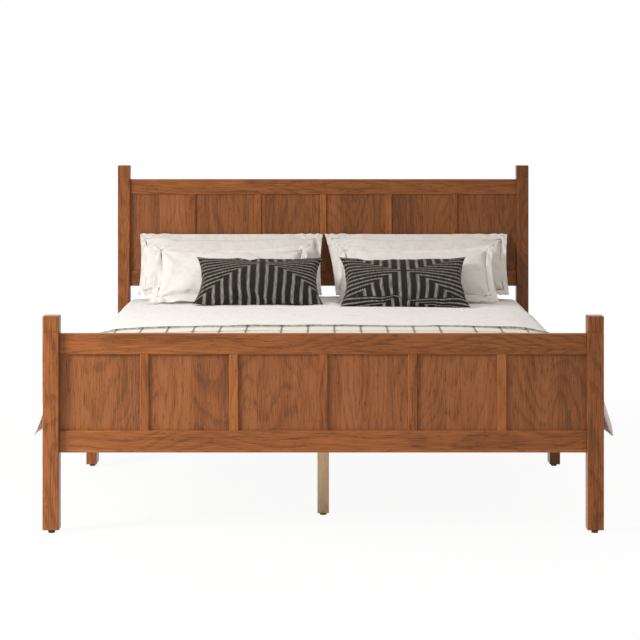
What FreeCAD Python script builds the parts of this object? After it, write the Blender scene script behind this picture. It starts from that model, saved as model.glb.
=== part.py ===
import FreeCAD, Part
import Sketcher
import math
import os
import re

# A queen panel bed of solid wood, dressed with its mattress and bedding.
# Millimetres. The origin is on the floor under the middle of the bed,
# +Y runs to the headboard, +X to the right and +Z up.

SIZES = [
    # the whole bed
    ("bed_width", 1630, "over the outside faces of the posts"),
    ("bed_length", 2150, "front of the foot posts to back of the head posts"),
    ("head_height", 1000, "floor to the top of the head posts"),
    ("foot_height", 632, "floor to the top of the foot posts"),
    # posts
    ("post_section", 48, "square section of a post"),
    ("post_ease", 3, "rounding of a post's edges"),
    ("kerf_drop", 46, "post top down to the decorative kerf"),
    ("kerf_wide", 3, "height of the kerf"),
    ("kerf_deep", 1.5, "depth of the kerf"),
    # framed boards at head and foot
    ("rail_thick", 22, "thickness of a board's rails"),
    ("rail_ease", 1.5, "rounding of rails and mullions"),
    ("top_rail_high", 60, "height of the upper rails"),
    ("low_rail_high", 64, "height of the lowest rails"),
    ("rail_bottom", 234, "floor to the lowest rails, the side rails and the beam"),
    ("foot_rail_drop", 52, "foot post's top down to the foot rail"),
    ("head_rail_drop", 55, "head post's top down to the head rail"),
    ("middle_rail_bottom", 521, "floor to the rail under the head panels"),
    ("bay_count", 6, "panels in each board"),
    ("mullion_wide", 26, "width of a mullion"),
    ("mullion_thick", 20, "thickness of a mullion"),
    ("panel_thick", 8, "thickness of a panel"),
    ("groove_deep", 8, "depth of the panel grooves"),
    ("groove_play", 0.2, "play each side of a panel or tenon"),
    ("panel_play", 1, "room for a panel to swell in its groove"),
    ("tenon_long", 20, "length of a rail's tenon"),
    ("tenon_thick", 10, "thickness of a rail's tenon"),
    # side rails, cleats and slats
    ("side_rail_thick", 25, "thickness of a side rail"),
    ("side_rail_high", 140, "height of a side rail"),
    ("side_rail_ease", 3, "rounding of a side rail's long edges"),
    ("cleat_wide", 22, "width of the ledge under the slats"),
    ("cleat_high", 25, "height of that ledge"),
    ("cleat_inset", 27, "end of that ledge in from the posts"),
    ("slat_count", 14, "slats"),
    ("slat_wide", 70, "width of a slat"),
    ("slat_thick", 14, "thickness of a slat"),
    ("slat_ease", 2, "rounding of a slat's long edges"),
    ("slat_inset", 10, "outermost slat in from the ledge's end"),
    ("slat_play", 3, "gap from a slat's end to the side rail"),
    # middle support
    ("beam_wide", 35, "width of the centre beam and its legs"),
    ("beam_high", 40, "height of the centre beam"),
    ("beam_ease", 2, "rounding of the beam and the legs"),
    ("leg_count", 3, "legs under the centre beam"),
    ("leg_inset", 227, "outermost of those legs in from the posts"),
    ("bracket_thick", 2, "steel of the beam brackets"),
    ("bracket_wide", 90, "width of a bracket's back plate"),
    ("bracket_seat", 30, "length of beam that sits in a bracket"),
    ("bracket_play", 0.3, "side play of the beam in a bracket"),
    ("bolt_radius", 4, "radius of a leg bolt"),
    ("bolt_head_radius", 8, "radius of its countersunk head"),
    ("bolt_head_high", 5, "height of that head"),
    ("bolt_bite", 50, "how far a leg bolt runs into the leg"),
    # legs under the side rails
    ("side_leg_wide", 35, "side leg across the bed"),
    ("side_leg_deep", 78, "side leg along the bed"),
    ("side_leg_inset", 3, "side leg in from the posts' outside face"),
    ("side_tenon_wide", 13, "tenon of a side leg across the bed"),
    ("side_tenon_deep", 52, "tenon of a side leg along the bed"),
    ("side_tenon_long", 20, "height of that tenon"),
    # feet
    ("foot_pad_high", 11, "height of the tapered feet"),
    ("foot_pad_top", 11.7, "upper radius of a tapered foot"),
    ("foot_pad_bottom", 9.5, "lower radius of a tapered foot"),
    ("foot_stud_radius", 4, "radius of a foot's stud"),
    ("foot_stud_long", 25, "length of a foot's stud"),
    ("glide_high", 7, "height of a centre leg's glide"),
    ("glide_top", 11.5, "upper radius of a glide"),
    ("glide_bottom", 10.5, "lower radius of a glide"),
    ("glide_pin_radius", 1.5, "radius of a glide's pin"),
    ("glide_pin_long", 16, "length of a glide's pin"),
    ("stud_play", 0.1, "play round a stud, pin, screw or bolt"),
    # bed-rail hooks
    ("plate_thick", 2.5, "steel of the hook and slot plates"),
    ("plate_wide", 16, "width of those plates"),
    ("plate_inset", 14, "those plates in from a side rail's edges"),
    ("plate_play", 0.2, "play round a plate in its recess"),
    ("hook_pitch", 56, "one hook to the other"),
    ("hook_thick", 2.5, "thickness of a hook"),
    ("hook_high", 16, "height of a hook's neck"),
    ("hook_drop", 7, "how far a hook's tooth hangs below its neck"),
    ("tooth_thick", 3, "thickness of that tooth"),
    ("slot_play", 0.4, "play of a hook in its slot"),
    ("plate_screw_inset", 7, "plate screw in from a plate's end"),
    # screws
    ("screw_radius", 1.8, "radius of a screw"),
    ("screw_head_radius", 3.6, "radius of a countersunk head"),
    ("screw_head_high", 2, "height of that head"),
    ("plate_screw_long", 16, "length of a plate or bracket screw"),
    ("slat_screw_long", 30, "length of a slat or cleat screw"),
    ("cleat_screw_count", 6, "screws in each cleat"),
    ("cleat_screw_inset", 80, "outermost of those screws in from the cleat's end"),
    # mattress
    ("mattress_side_gap", 16.5, "mattress to a side rail"),
    ("mattress_end_gap", 11, "mattress to the posts, head and foot"),
    ("mattress_thick", 177, "thickness of the mattress"),
    ("mattress_corner", 60, "radius of its four corners"),
    ("mattress_edge", 40, "radius of its top and bottom edges"),
    ("cloth_gap", 0.4, "air between soft pieces, and under them"),
    # duvet and throw
    ("duvet_thick", 20, "thickness of the duvet at the sides"),
    ("duvet_crown", 14, "extra thickness in the middle of the bed"),
    ("duvet_foot_gap", 19, "duvet's foot edge to the posts"),
    ("duvet_head_gap", 27, "duvet's head edge to the posts"),
    ("duvet_hem", 274, "floor to the duvet's hem at the sides"),
    ("duvet_flare", 5, "least lean of the hem out from the side rail"),
    ("corner_flare", 10, "extra lean of the hem at the foot corners"),
    ("fold_deep", 9, "depth of the folds in the hanging sides"),
    ("fold_pitch", 310, "one fold to the next"),
    ("throw_thick", 6, "thickness of the throw"),
    ("throw_far", 212, "middle of the bed to the throw's head-side edge"),
    ("throw_near", 880, "middle of the bed to the throw's foot-side edge"),
    ("throw_hem", 335, "floor to the throw's hem at the sides"),
    # pillows: each stands on its lower edge and leans on what is behind it
    ("pair_gap", 6, "gap between the left and right back pillows"),
    ("back_side_gap", 52, "back pillow's outer edge to the posts"),
    ("back_high", 292, "back pillow, lower to upper edge"),
    ("back_thick", 95, "back pillow's crown"),
    ("back_lean", 38.5, "back pillow's lean, degrees from upright"),
    ("front_wide", 602, "front pillow with its flange"),
    ("front_high", 272, "front pillow, lower to upper edge"),
    ("front_thick", 88, "front pillow's crown"),
    ("front_lean", 45.5, "front pillow's lean, degrees from upright"),
    ("front_inner", 57, "middle of the bed to its inner edge"),
    ("flange_wide", 34, "flat flange round the pillows"),
    ("flange_thick", 5, "thickness of that flange"),
    ("lumbar_wide", 480, "lumbar cushion"),
    ("lumbar_high", 285, "lumbar cushion, lower to upper edge"),
    ("lumbar_thick", 96, "lumbar cushion's crown"),
    ("lumbar_lean", 57, "lumbar cushion's lean, degrees from upright"),
    ("lumbar_inner", 31, "middle of the pair to its inner edge"),
    ("lumbar_shift", 34, "middle of the pair, right of the middle of the bed"),
    ("lean_play", 3, "air between pillows that lean on each other"),
]

doc = FreeCAD.newDocument("PanelBed")
sheet = doc.addObject("Spreadsheet::Sheet", "Sizes")
for row, (alias, value, meaning) in enumerate(SIZES, start=1):
    sheet.set(f"A{row}", meaning)
    sheet.set(f"B{row}", str(value))
    sheet.setAlias(f"B{row}", alias)
doc.recompute()

ALIASES = {alias for alias, _, _ in SIZES}
SIDES = {"left": -1, "right": 1}
ENDS = {"foot": -1, "head": 1}


# ---- working with the sheet ------------------------------------------------

def size(alias):
    return float(sheet.get(alias))


def rule(text):
    """An expression in which each size name points at its cell."""
    return re.sub(r"[a-z_]+", lambda word: "Sizes." + word[0] if word[0] in ALIASES else word[0], str(text))


def bind(thing, **rules):
    for name, text in rules.items():
        thing.setExpression(name, rule(text))
    return thing


def place(thing, x, y, z, turn=FreeCAD.Rotation()):
    thing.Placement = FreeCAD.Placement(FreeCAD.Vector(), turn)
    thing.setExpression("Placement.Base.x", rule(x))
    thing.setExpression("Placement.Base.y", rule(y))
    thing.setExpression("Placement.Base.z", rule(z))
    return thing


def check(thing):
    """Stop at a failed or invalid object."""
    failed = [state for state in thing.State if state in ("Invalid", "Error")]
    if failed or thing.Shape.isNull() or not thing.Shape.isValid():
        raise RuntimeError(f"{thing.Label}: {failed or 'bad shape'}")


# ---- simple solids and joinery ---------------------------------------------

def block(name, x, y, z, wide, deep, high):
    """A box centred on x and y that stands on z."""
    box = bind(doc.addObject("Part::Box", name), Length=wide, Width=deep, Height=high)
    return place(box, f"({x}) - ({wide}) / 2", f"({y}) - ({deep}) / 2", z)


AIMS = {
    "up": FreeCAD.Rotation(),
    "down": FreeCAD.Rotation(FreeCAD.Vector(1, 0, 0), 180),
    "right": FreeCAD.Rotation(FreeCAD.Vector(0, 1, 0), 90),
    "left": FreeCAD.Rotation(FreeCAD.Vector(0, 1, 0), -90),
    "headward": FreeCAD.Rotation(FreeCAD.Vector(1, 0, 0), -90),
    "footward": FreeCAD.Rotation(FreeCAD.Vector(1, 0, 0), 90),
}


def rod(name, x, y, z, aim, radius, long):
    """A cylinder that starts at the point and runs the way it is aimed."""
    cylinder = bind(doc.addObject("Part::Cylinder", name), Radius=radius, Height=long)
    return place(cylinder, x, y, z, AIMS[aim])


def fuse(name, pieces):
    joined = doc.addObject("Part::MultiFuse", name)
    joined.Shapes = pieces
    return joined


def group(name, pieces):
    """Separate solids that share one node."""
    together = doc.addObject("Part::Compound", name)
    together.Links = pieces
    return together


def cut(name, base, tools):
    result = doc.addObject("Part::Cut", name)
    result.Base = base
    result.Tool = tools[0] if len(tools) == 1 else fuse(name + "_tools", tools)
    return result


def ease(name, base, radius, directions, top_only=False):
    """Round the straight edges that run along the given axes."""
    doc.recompute()
    top = base.Shape.BoundBox.ZMax
    edges = []
    for number, edge in enumerate(base.Shape.Edges, start=1):
        run = edge.Vertexes[-1].Point - edge.Vertexes[0].Point
        along = "xyz"[max(range(3), key=lambda axis: abs(run[axis]))]
        if along == "z" or not top_only or edge.CenterOfMass.z > top - 0.01:
            if along in directions:
                edges.append((number, radius, radius))
    rounded = doc.addObject("Part::Fillet", name)
    rounded.Base = base
    rounded.Edges = edges
    return rounded


def screw(name, x, y, z, aim, long, play="0"):
    """A countersunk screw; with play, the hole that takes it."""
    head = doc.addObject("Part::Cone", name + "_head")
    bind(head, Radius1=f"screw_head_radius + {play}", Radius2=f"screw_radius + {play}", Height="screw_head_high")
    place(head, x, y, z, AIMS[aim])
    shank = rod(name + "_shank", x, y, z, aim, f"screw_radius + {play}", f"({long}) + {play}")
    return fuse(name, [head, shank])


def hole(name, x, y, z, aim, long):
    return screw(name, x, y, z, aim, long, play="stud_play")


# ---- sketches ---------------------------------------------------------------

def new_body(name, plane):
    """A body with a sketch on one of its own origin planes."""
    body = doc.addObject("PartDesign::Body", name)
    sketch = body.newObject("Sketcher::SketchObject", name + "_sketch")
    support = [item for item in body.Origin.OriginFeatures if item.Role == plane][0]
    sketch.AttachmentSupport = [(support, "")]
    sketch.MapMode = "FlatFace"
    return body, sketch


def distance(sketch, kind, line, text):
    """Hold a line's first point at a bound distance from the sketch's origin."""
    number = sketch.addConstraint(Sketcher.Constraint(kind, -1, 1, line, 1, 1.0))
    sketch.setExpression(f"Constraints[{number}]", rule(text))


def outline(sketch, corners):
    """A closed line through corners, each a pair of rules; 0 puts a corner on that axis."""
    first = sketch.GeometryCount
    count = len(corners)
    turns = [2 * math.pi * index / count for index in range(count + 1)]
    guess = [FreeCAD.Vector(math.cos(turn), math.sin(turn), 0) for turn in turns]
    for index in range(count):
        sketch.addGeometry(Part.LineSegment(guess[index], guess[index + 1]))
    for index in range(count):
        following = first + (index + 1) % count
        sketch.addConstraint(Sketcher.Constraint("Coincident", first + index, 2, following, 1))
    for line, (across, up) in enumerate(corners, start=first):
        if across == 0:
            sketch.addConstraint(Sketcher.Constraint("PointOnObject", line, 1, -2))
        else:
            distance(sketch, "DistanceX", line, across)
        if up == 0:
            sketch.addConstraint(Sketcher.Constraint("PointOnObject", line, 1, -1))
        else:
            distance(sketch, "DistanceY", line, up)


def turned(name, corners):
    """A body turned about the vertical from half its outline."""
    body, sketch = new_body(name, "XZ_Plane")
    outline(sketch, corners)
    spin = body.newObject("PartDesign::Revolution", name + "_turning")
    spin.Profile = sketch
    spin.ReferenceAxis = (sketch, ["V_Axis"])
    spin.Angle = 360
    return body


# ---- shared places ----------------------------------------------------------

INNER = "(bed_width - 2 * post_section)"
POST_X = "(bed_width - post_section) / 2"
POST_Y = "(bed_length - post_section) / 2"
FACE_Y = "(bed_length / 2 - post_section)"
BAY = f"(({INNER} - (bay_count - 1) * mullion_wide) / bay_count)"
SIDE_RAIL_Z = "(rail_bottom + side_rail_high / 2)"
RAIL_FACE_Y = "(bed_length / 2 - (post_section - rail_thick) / 2 - rail_thick)"
SIDE_LEG_X = "((bed_width - side_leg_wide) / 2 - side_leg_inset)"
PLATE_HIGH = "(side_rail_high - 2 * plate_inset)"
SLAT_SEAT = "(rail_bottom + beam_high)"
HOOK_Z = {"upper": f"({SIDE_RAIL_Z} + hook_pitch / 2)", "lower": f"({SIDE_RAIL_Z} - hook_pitch / 2)"}
SCREW_Z = {"upper": f"({SIDE_RAIL_Z} + {PLATE_HIGH} / 2 - plate_screw_inset)",
           "lower": f"({SIDE_RAIL_Z} - {PLATE_HIGH} / 2 + plate_screw_inset)"}
FOOT_RAIL_TOP = "(foot_height - foot_rail_drop)"
HEAD_RAIL_TOP = "(head_height - head_rail_drop)"
BAYS = int(size("bay_count"))

# each rail: name, bottom, height, and whether panels meet it from above or below
RAILS = {
    "foot": [("foot_bottom_rail", "rail_bottom", "low_rail_high", "above"),
             ("foot_top_rail", f"({FOOT_RAIL_TOP} - top_rail_high)", "top_rail_high", "below")],
    "head": [("head_lower_rail", "rail_bottom", "low_rail_high", None),
             ("head_middle_rail", "middle_rail_bottom", "top_rail_high", "above"),
             ("head_top_rail", f"({HEAD_RAIL_TOP} - top_rail_high)", "top_rail_high", "below")],
}
PANEL_LOW = {"foot": "(rail_bottom + low_rail_high)", "head": "(middle_rail_bottom + top_rail_high)"}
PANEL_HIGH = {"foot": f"({FOOT_RAIL_TOP} - top_rail_high)", "head": f"({HEAD_RAIL_TOP} - top_rail_high)"}


# ---- boards -----------------------------------------------------------------

def post(end, side):
    """A post with its kerf, its mortises and groove, and the recess for the rail hooks."""
    name = f"{end}_post_{side}"
    x, y = f"{SIDES[side]} * {POST_X}", f"{ENDS[end]} * {POST_Y}"
    inner_x = f"{SIDES[side]} * ({INNER} / 2 + ({{0}}) / 2)"
    blank = block(name + "_blank", x, y, "foot_pad_high", "post_section", "post_section",
                  f"{end}_height - foot_pad_high")
    eased = ease(name + "_eased", blank, size("post_ease"), "xyz", top_only=True)
    kerf_z = f"{end}_height - kerf_drop - kerf_wide / 2"
    around = block(name + "_kerf_outside", x, y, kerf_z, "post_section + 2", "post_section + 2", "kerf_wide")
    core = block(name + "_kerf_core", x, y, kerf_z, "post_section - 2 * kerf_deep",
                 "post_section - 2 * kerf_deep", "kerf_wide")
    tools = [cut(name + "_kerf", around, [core])]
    for rail, bottom, high, _ in RAILS[end]:
        tools.append(block(f"{name}_{rail}_mortise", inner_x.format("tenon_long + panel_play"), y,
                           f"{bottom} + groove_deep - groove_play", "tenon_long + panel_play",
                           "tenon_thick + 2 * groove_play", f"{high} - 2 * groove_deep + 2 * groove_play"))
    tools.append(block(name + "_groove", inner_x.format("groove_deep"), y,
                       f"{PANEL_LOW[end]} - groove_deep", "groove_deep", "panel_thick + 2 * groove_play",
                       f"{PANEL_HIGH[end]} - {PANEL_LOW[end]} + 2 * groove_deep"))
    tools.append(rod(name + "_stud_hole", x, y, "foot_pad_high", "up", "foot_stud_radius + stud_play",
                     "foot_stud_long + stud_play"))
    tools += plate_recess(name, end, side, into_post=True)
    return cut(name, eased, tools)


def rail(end, name, bottom, high, panels):
    y = f"{ENDS[end]} * {POST_Y}"
    blank = block(name + "_blank", 0, y, bottom, INNER, "rail_thick", high)
    eased = ease(name + "_eased", blank, size("rail_ease"), "x")
    tenons = block(name + "_tenons", 0, y, f"{bottom} + groove_deep", f"{INNER} + 2 * tenon_long",
                   "tenon_thick", f"{high} - 2 * groove_deep")
    tools = []
    if panels:
        groove_z = f"{bottom} + {high} - groove_deep" if panels == "above" else bottom
        tools.append(block(name + "_groove", 0, y, groove_z, INNER, "panel_thick + 2 * groove_play", "groove_deep"))
    if bottom == "rail_bottom":
        tools += bracket_holes(name, end)
    return cut(name, fuse(name + "_whole", [eased, tenons]), tools)


def mullion(end, number):
    name = f"{end}_mullion_{number}"
    x = f"({number} * {BAY} + ({number} - 0.5) * mullion_wide - {INNER} / 2)"
    y = f"{ENDS[end]} * {POST_Y}"
    clear = f"({PANEL_HIGH[end]} - {PANEL_LOW[end]})"
    blank = block(name + "_blank", x, y, PANEL_LOW[end], "mullion_wide", "mullion_thick", clear)
    eased = ease(name + "_eased", blank, size("rail_ease"), "z")
    tenons = block(name + "_tenons", x, y, f"{PANEL_LOW[end]} - groove_deep + panel_play",
                   "mullion_wide - 2 * groove_deep", "panel_thick",
                   f"{clear} + 2 * (groove_deep - panel_play)")
    grooves = [block(f"{name}_groove_{side}", f"{x} + {sign} * (mullion_wide - groove_deep) / 2", y,
                     PANEL_LOW[end], "groove_deep", "panel_thick + 2 * groove_play", clear)
               for side, sign in SIDES.items()]
    return cut(name, fuse(name + "_whole", [eased, tenons]), grooves)


def panel(end, number):
    x = f"(({number} - 0.5) * {BAY} + ({number} - 1) * mullion_wide - {INNER} / 2)"
    held = "2 * (groove_deep - panel_play)"
    return block(f"{end}_panel_{number}", x, f"{ENDS[end]} * {POST_Y}",
                 f"{PANEL_LOW[end]} - groove_deep + panel_play", f"{BAY} + {held}", "panel_thick",
                 f"{PANEL_HIGH[end]} - {PANEL_LOW[end]} + {held}")


# ---- bed-rail hooks ---------------------------------------------------------

def at_face(end, depth):
    """A place along the bed, depth into the post from its face at the side rail."""
    return f"{ENDS[end]} * ({FACE_Y} + ({depth}))"


def plate_recess(name, end, side, into_post):
    """Cutters for a plate, its screws and, in a post, the hooks behind it."""
    x = f"{SIDES[side]} * {POST_X}"
    way = 1 if into_post else -1
    tools = [block(name + "_plate_recess", x, at_face(end, f"{way} * plate_thick / 2"),
                   f"{SIDE_RAIL_Z} - {PLATE_HIGH} / 2 - plate_play", "plate_wide + 2 * plate_play", "plate_thick",
                   f"{PLATE_HIGH} + 2 * plate_play")]
    aim = "headward" if ENDS[end] * way > 0 else "footward"
    for level, z in SCREW_Z.items():
        tools.append(hole(f"{name}_{level}_screw_hole", x, at_face(end, 0), z, aim, "plate_screw_long"))
    if into_post:
        pocket = "(slot_play + tooth_thick + slot_play)"
        for level, z in HOOK_Z.items():
            tools.append(block(f"{name}_{level}_hook_pocket", x, at_face(end, f"plate_thick + {pocket} / 2"),
                               f"{z} - hook_high / 2 - hook_drop - slot_play", "hook_thick + 2 * slot_play",
                               pocket, "hook_high + 2 * hook_drop + slot_play"))
    return tools


def slot_plate(end, side):
    """The slotted plate let into a post."""
    name = f"{end}_{side}_slot_plate"
    body, sketch = new_body(name, "XZ_Plane")
    half_wide, half_high = "plate_wide / 2", f"{PLATE_HIGH} / 2"
    outline(sketch, [(f"-{half_wide}", f"-{half_high}"), (half_wide, f"-{half_high}"),
                     (half_wide, half_high), (f"-{half_wide}", half_high)])
    slot_half = "(hook_thick / 2 + slot_play)"
    for middle in ("hook_pitch / 2", "-hook_pitch / 2"):
        low, high = f"{middle} - hook_high / 2", f"{middle} + hook_high / 2 + hook_drop"
        outline(sketch, [(f"-{slot_half}", low), (slot_half, low), (slot_half, high), (f"-{slot_half}", high)])
    pad = body.newObject("PartDesign::Pad", name + "_sheet")
    pad.Profile = sketch
    pad.Midplane = True
    bind(pad, Length="plate_thick")
    x = f"{SIDES[side]} * {POST_X}"
    place(body, x, at_face(end, "plate_thick / 2"), SIDE_RAIL_Z)
    aim = "headward" if end == "head" else "footward"
    holes = [hole(f"{name}_{level}_hole", x, at_face(end, 0), z, aim, "plate_screw_long")
             for level, z in SCREW_Z.items()]
    return cut(name + "_bored", body, holes)


def hook_plate(end, side):
    """The plate let into a side rail's end, with two hooks that drop behind the slot plate."""
    name = f"{end}_{side}_hook_plate"
    x = f"{SIDES[side]} * {POST_X}"
    pieces = [block(name + "_sheet", x, at_face(end, "-plate_thick / 2"), f"{SIDE_RAIL_Z} - {PLATE_HIGH} / 2",
                    "plate_wide", "plate_thick", PLATE_HIGH)]
    reach = "(plate_thick + slot_play + tooth_thick)"
    for level, z in HOOK_Z.items():
        pieces.append(block(f"{name}_{level}_neck", x, at_face(end, f"({reach} - plate_thick) / 2"),
                            f"{z} - hook_high / 2", "hook_thick", f"{reach} + plate_thick", "hook_high"))
        pieces.append(block(f"{name}_{level}_tooth", x, at_face(end, f"{reach} - tooth_thick / 2"),
                            f"{z} - hook_high / 2 - hook_drop", "hook_thick", "tooth_thick",
                            "hook_high + hook_drop"))
    aim = "footward" if end == "head" else "headward"
    holes = [hole(f"{name}_{level}_hole", x, at_face(end, 0), z, aim, "plate_screw_long")
             for level, z in SCREW_Z.items()]
    return cut(name + "_bored", fuse(name, pieces), holes)


def plate_screws(end, side):
    x = f"{SIDES[side]} * {POST_X}"
    return [screw(f"{end}_{side}_{aim}_{level}_screw", x, at_face(end, 0), z, aim, "plate_screw_long")
            for aim in ("footward", "headward") for level, z in SCREW_Z.items()]


# ---- side rails, cleats and slats -------------------------------------------

CLEAT_X = "(bed_width / 2 - post_section / 2 - side_rail_thick / 2 - cleat_wide / 2)"
CLEAT_LONG = f"(2 * ({FACE_Y} - cleat_inset))"
CLEAT_Z = f"({SLAT_SEAT} - cleat_high / 2)"
SLAT_TOP = f"({SLAT_SEAT} + slat_thick)"
CLEAT_HEAD_X = f"({CLEAT_X} - cleat_wide / 2)"
SLATS = int(size("slat_count"))
CLEAT_SCREWS = int(size("cleat_screw_count"))


def spread(count, span, index):
    """The place of one of a row that is centred on the bed."""
    return f"({span} * ({index} / ({count} - 1) - 0.5))"


def slat_y(index):
    return spread("slat_count", f"({CLEAT_LONG} - slat_wide - 2 * slat_inset)", index)


def cleat_screw_y(index):
    return spread("cleat_screw_count", f"({CLEAT_LONG} - 2 * cleat_screw_inset)", index)


def side_rail(side):
    name = f"side_rail_{side}"
    x = f"{SIDES[side]} * {POST_X}"
    blank = block(name + "_blank", x, 0, "rail_bottom", "side_rail_thick", f"2 * {FACE_Y}", "side_rail_high")
    eased = ease(name + "_eased", blank, size("side_rail_ease"), "y")
    tools = plate_recess(name + "_foot", "foot", side, into_post=False)
    tools += plate_recess(name + "_head", "head", side, into_post=False)
    tools.append(block(name + "_leg_mortise", x, 0, "rail_bottom", "side_tenon_wide + 2 * groove_play",
                       "side_tenon_deep + 2 * groove_play", "side_tenon_long + groove_play"))
    for index in range(CLEAT_SCREWS):
        tools.append(hole(f"{name}_cleat_hole_{index}", f"{SIDES[side]} * {CLEAT_HEAD_X}", cleat_screw_y(index),
                          CLEAT_Z, side, "slat_screw_long"))
    return cut(name, eased, tools)


def cleat(side):
    name = f"cleat_{side}"
    sign = SIDES[side]
    blank = block(name + "_blank", f"{sign} * {CLEAT_X}", 0, f"{SLAT_SEAT} - cleat_high", "cleat_wide",
                  CLEAT_LONG, "cleat_high")
    tools = [hole(f"{name}_slat_hole_{index}", f"{sign} * {CLEAT_X}", slat_y(index), SLAT_TOP,
                  "down", "slat_screw_long") for index in range(SLATS)]
    tools += [hole(f"{name}_cleat_hole_{index}", f"{sign} * {CLEAT_HEAD_X}", cleat_screw_y(index), CLEAT_Z,
                   side, "slat_screw_long") for index in range(CLEAT_SCREWS)]
    return cut(name, blank, tools)


def slat(index):
    name = f"slat_{index}"
    blank = block(name + "_blank", 0, slat_y(index), SLAT_SEAT,
                  "bed_width - post_section - side_rail_thick - 2 * slat_play", "slat_wide", "slat_thick")
    eased = ease(name + "_eased", blank, size("slat_ease"), "x")
    holes = [hole(f"{name}_hole_{side}", f"{sign} * {CLEAT_X}", slat_y(index), SLAT_TOP, "down",
                  "slat_screw_long") for side, sign in SIDES.items()]
    return cut(name, eased, holes)


def slat_and_cleat_screws():
    screws = []
    for side, sign in SIDES.items():
        for index in range(SLATS):
            screws.append(screw(f"slat_{index}_screw_{side}", f"{sign} * {CLEAT_X}", slat_y(index),
                                SLAT_TOP, "down", "slat_screw_long"))
        for index in range(CLEAT_SCREWS):
            screws.append(screw(f"cleat_{side}_screw_{index}", f"{sign} * {CLEAT_HEAD_X}", cleat_screw_y(index),
                                CLEAT_Z, side, "slat_screw_long"))
    return screws


# ---- middle support ---------------------------------------------------------

BEAM_END = f"({RAIL_FACE_Y} - bracket_thick)"
BRACKET_SCREW_X = "(bracket_wide / 2 - screw_head_radius - bracket_thick)"
LEGS = int(size("leg_count"))


def leg_y(index):
    return spread("leg_count", f"(2 * ({FACE_Y} - leg_inset))", index)


def leg_bolt(name, index, play="0"):
    """A countersunk bolt down through the beam into a leg; with play, its hole."""
    head = doc.addObject("Part::Cone", name + "_head")
    bind(head, Radius1=f"bolt_head_radius + {play}", Radius2=f"bolt_radius + {play}", Height="bolt_head_high")
    place(head, 0, leg_y(index), SLAT_SEAT, AIMS["down"])
    shank = rod(name + "_shank", 0, leg_y(index), SLAT_SEAT, "down", f"bolt_radius + {play}",
                f"beam_high + bolt_bite + {play}")
    return fuse(name, [head, shank])


def centre_beam():
    blank = block("centre_beam_blank", 0, 0, "rail_bottom", "beam_wide", f"2 * {BEAM_END}", "beam_high")
    eased = ease("centre_beam_eased", blank, size("beam_ease"), "y")
    return cut("centre_beam", eased, [leg_bolt(f"centre_beam_hole_{index}", index, "stud_play")
                                      for index in range(LEGS)])


def centre_leg(index):
    name = f"centre_leg_{index + 1}"
    blank = block(name + "_blank", 0, leg_y(index), "glide_high", "beam_wide", "beam_wide", "rail_bottom - glide_high")
    eased = ease(name + "_eased", blank, size("beam_ease"), "z")
    pin_hole = rod(name + "_pin_hole", 0, leg_y(index), "glide_high", "up", "glide_pin_radius + stud_play",
                   "glide_pin_long + stud_play")
    return cut(name, eased, [leg_bolt(name + "_bolt_hole", index, "stud_play"), pin_hole])


def bracket_screw_places(end):
    """Where the two screws of a beam bracket go in, and which way."""
    aim = "headward" if end == "head" else "footward"
    for side, sign in SIDES.items():
        yield side, f"{sign} * {BRACKET_SCREW_X}", f"{ENDS[end]} * {BEAM_END}", "rail_bottom + beam_high / 2", aim


def bracket_holes(name, end):
    return [hole(f"{name}_bracket_hole_{side}", x, y, z, aim, "plate_screw_long")
            for side, x, y, z, aim in bracket_screw_places(end)]


def bracket_screws(end):
    return [screw(f"{end}_bracket_screw_{side}", x, y, z, aim, "plate_screw_long")
            for side, x, y, z, aim in bracket_screw_places(end)]


def beam_bracket(end):
    """A steel stirrup on the lowest rail that carries an end of the beam."""
    name = f"{end}_beam_bracket"
    way = ENDS[end]
    inside = "(beam_wide + 2 * bracket_play)"
    back = block(name + "_back", 0, f"{way} * ({BEAM_END} + bracket_thick / 2)", "rail_bottom - bracket_thick",
                 "bracket_wide", "bracket_thick", "beam_high")
    seat_y = f"{way} * ({BEAM_END} - bracket_seat / 2)"
    seat = block(name + "_seat", 0, seat_y, "rail_bottom - bracket_thick", f"{inside} + 2 * bracket_thick",
                 "bracket_seat", "bracket_thick")
    cheeks = [block(f"{name}_cheek_{side}", f"{sign} * ({inside} + bracket_thick) / 2", seat_y,
                    "rail_bottom - bracket_thick", "bracket_thick", "bracket_seat", "beam_high")
              for side, sign in SIDES.items()]
    return cut(name, fuse(name + "_whole", [back, seat] + cheeks), bracket_holes(name, end))


# ---- legs under the side rails, feet and glides ------------------------------

def side_leg(side):
    name = f"side_leg_{side}"
    x = f"{SIDES[side]} * {SIDE_LEG_X}"
    blank = block(name + "_blank", x, 0, "foot_pad_high", "side_leg_wide", "side_leg_deep",
                  "rail_bottom - foot_pad_high")
    eased = ease(name + "_eased", blank, size("beam_ease"), "z")
    tenon = block(name + "_tenon", f"{SIDES[side]} * {POST_X}", 0, "rail_bottom", "side_tenon_wide",
                  "side_tenon_deep", "side_tenon_long")
    stud_hole = rod(name + "_stud_hole", x, 0, "foot_pad_high", "up", "foot_stud_radius + stud_play",
                    "foot_stud_long + stud_play")
    return cut(name, fuse(name + "_whole", [eased, tenon]), [stud_hole])


def foot_places():
    for side, sign in SIDES.items():
        yield f"{sign} * {SIDE_LEG_X}", "0"
        for way in ENDS.values():
            yield f"{sign} * {POST_X}", f"{way} * {POST_Y}"


def tapered_feet():
    feet = []
    for number, (x, y) in enumerate(foot_places()):
        top = "foot_pad_high + foot_stud_long"
        foot = turned(f"tapered_foot_{number}", [
            (0, 0), ("foot_pad_bottom", 0), ("foot_pad_top", "foot_pad_high"),
            ("foot_stud_radius", "foot_pad_high"), ("foot_stud_radius", top), (0, top)])
        feet.append(place(foot, x, y, 0))
    return feet


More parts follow.
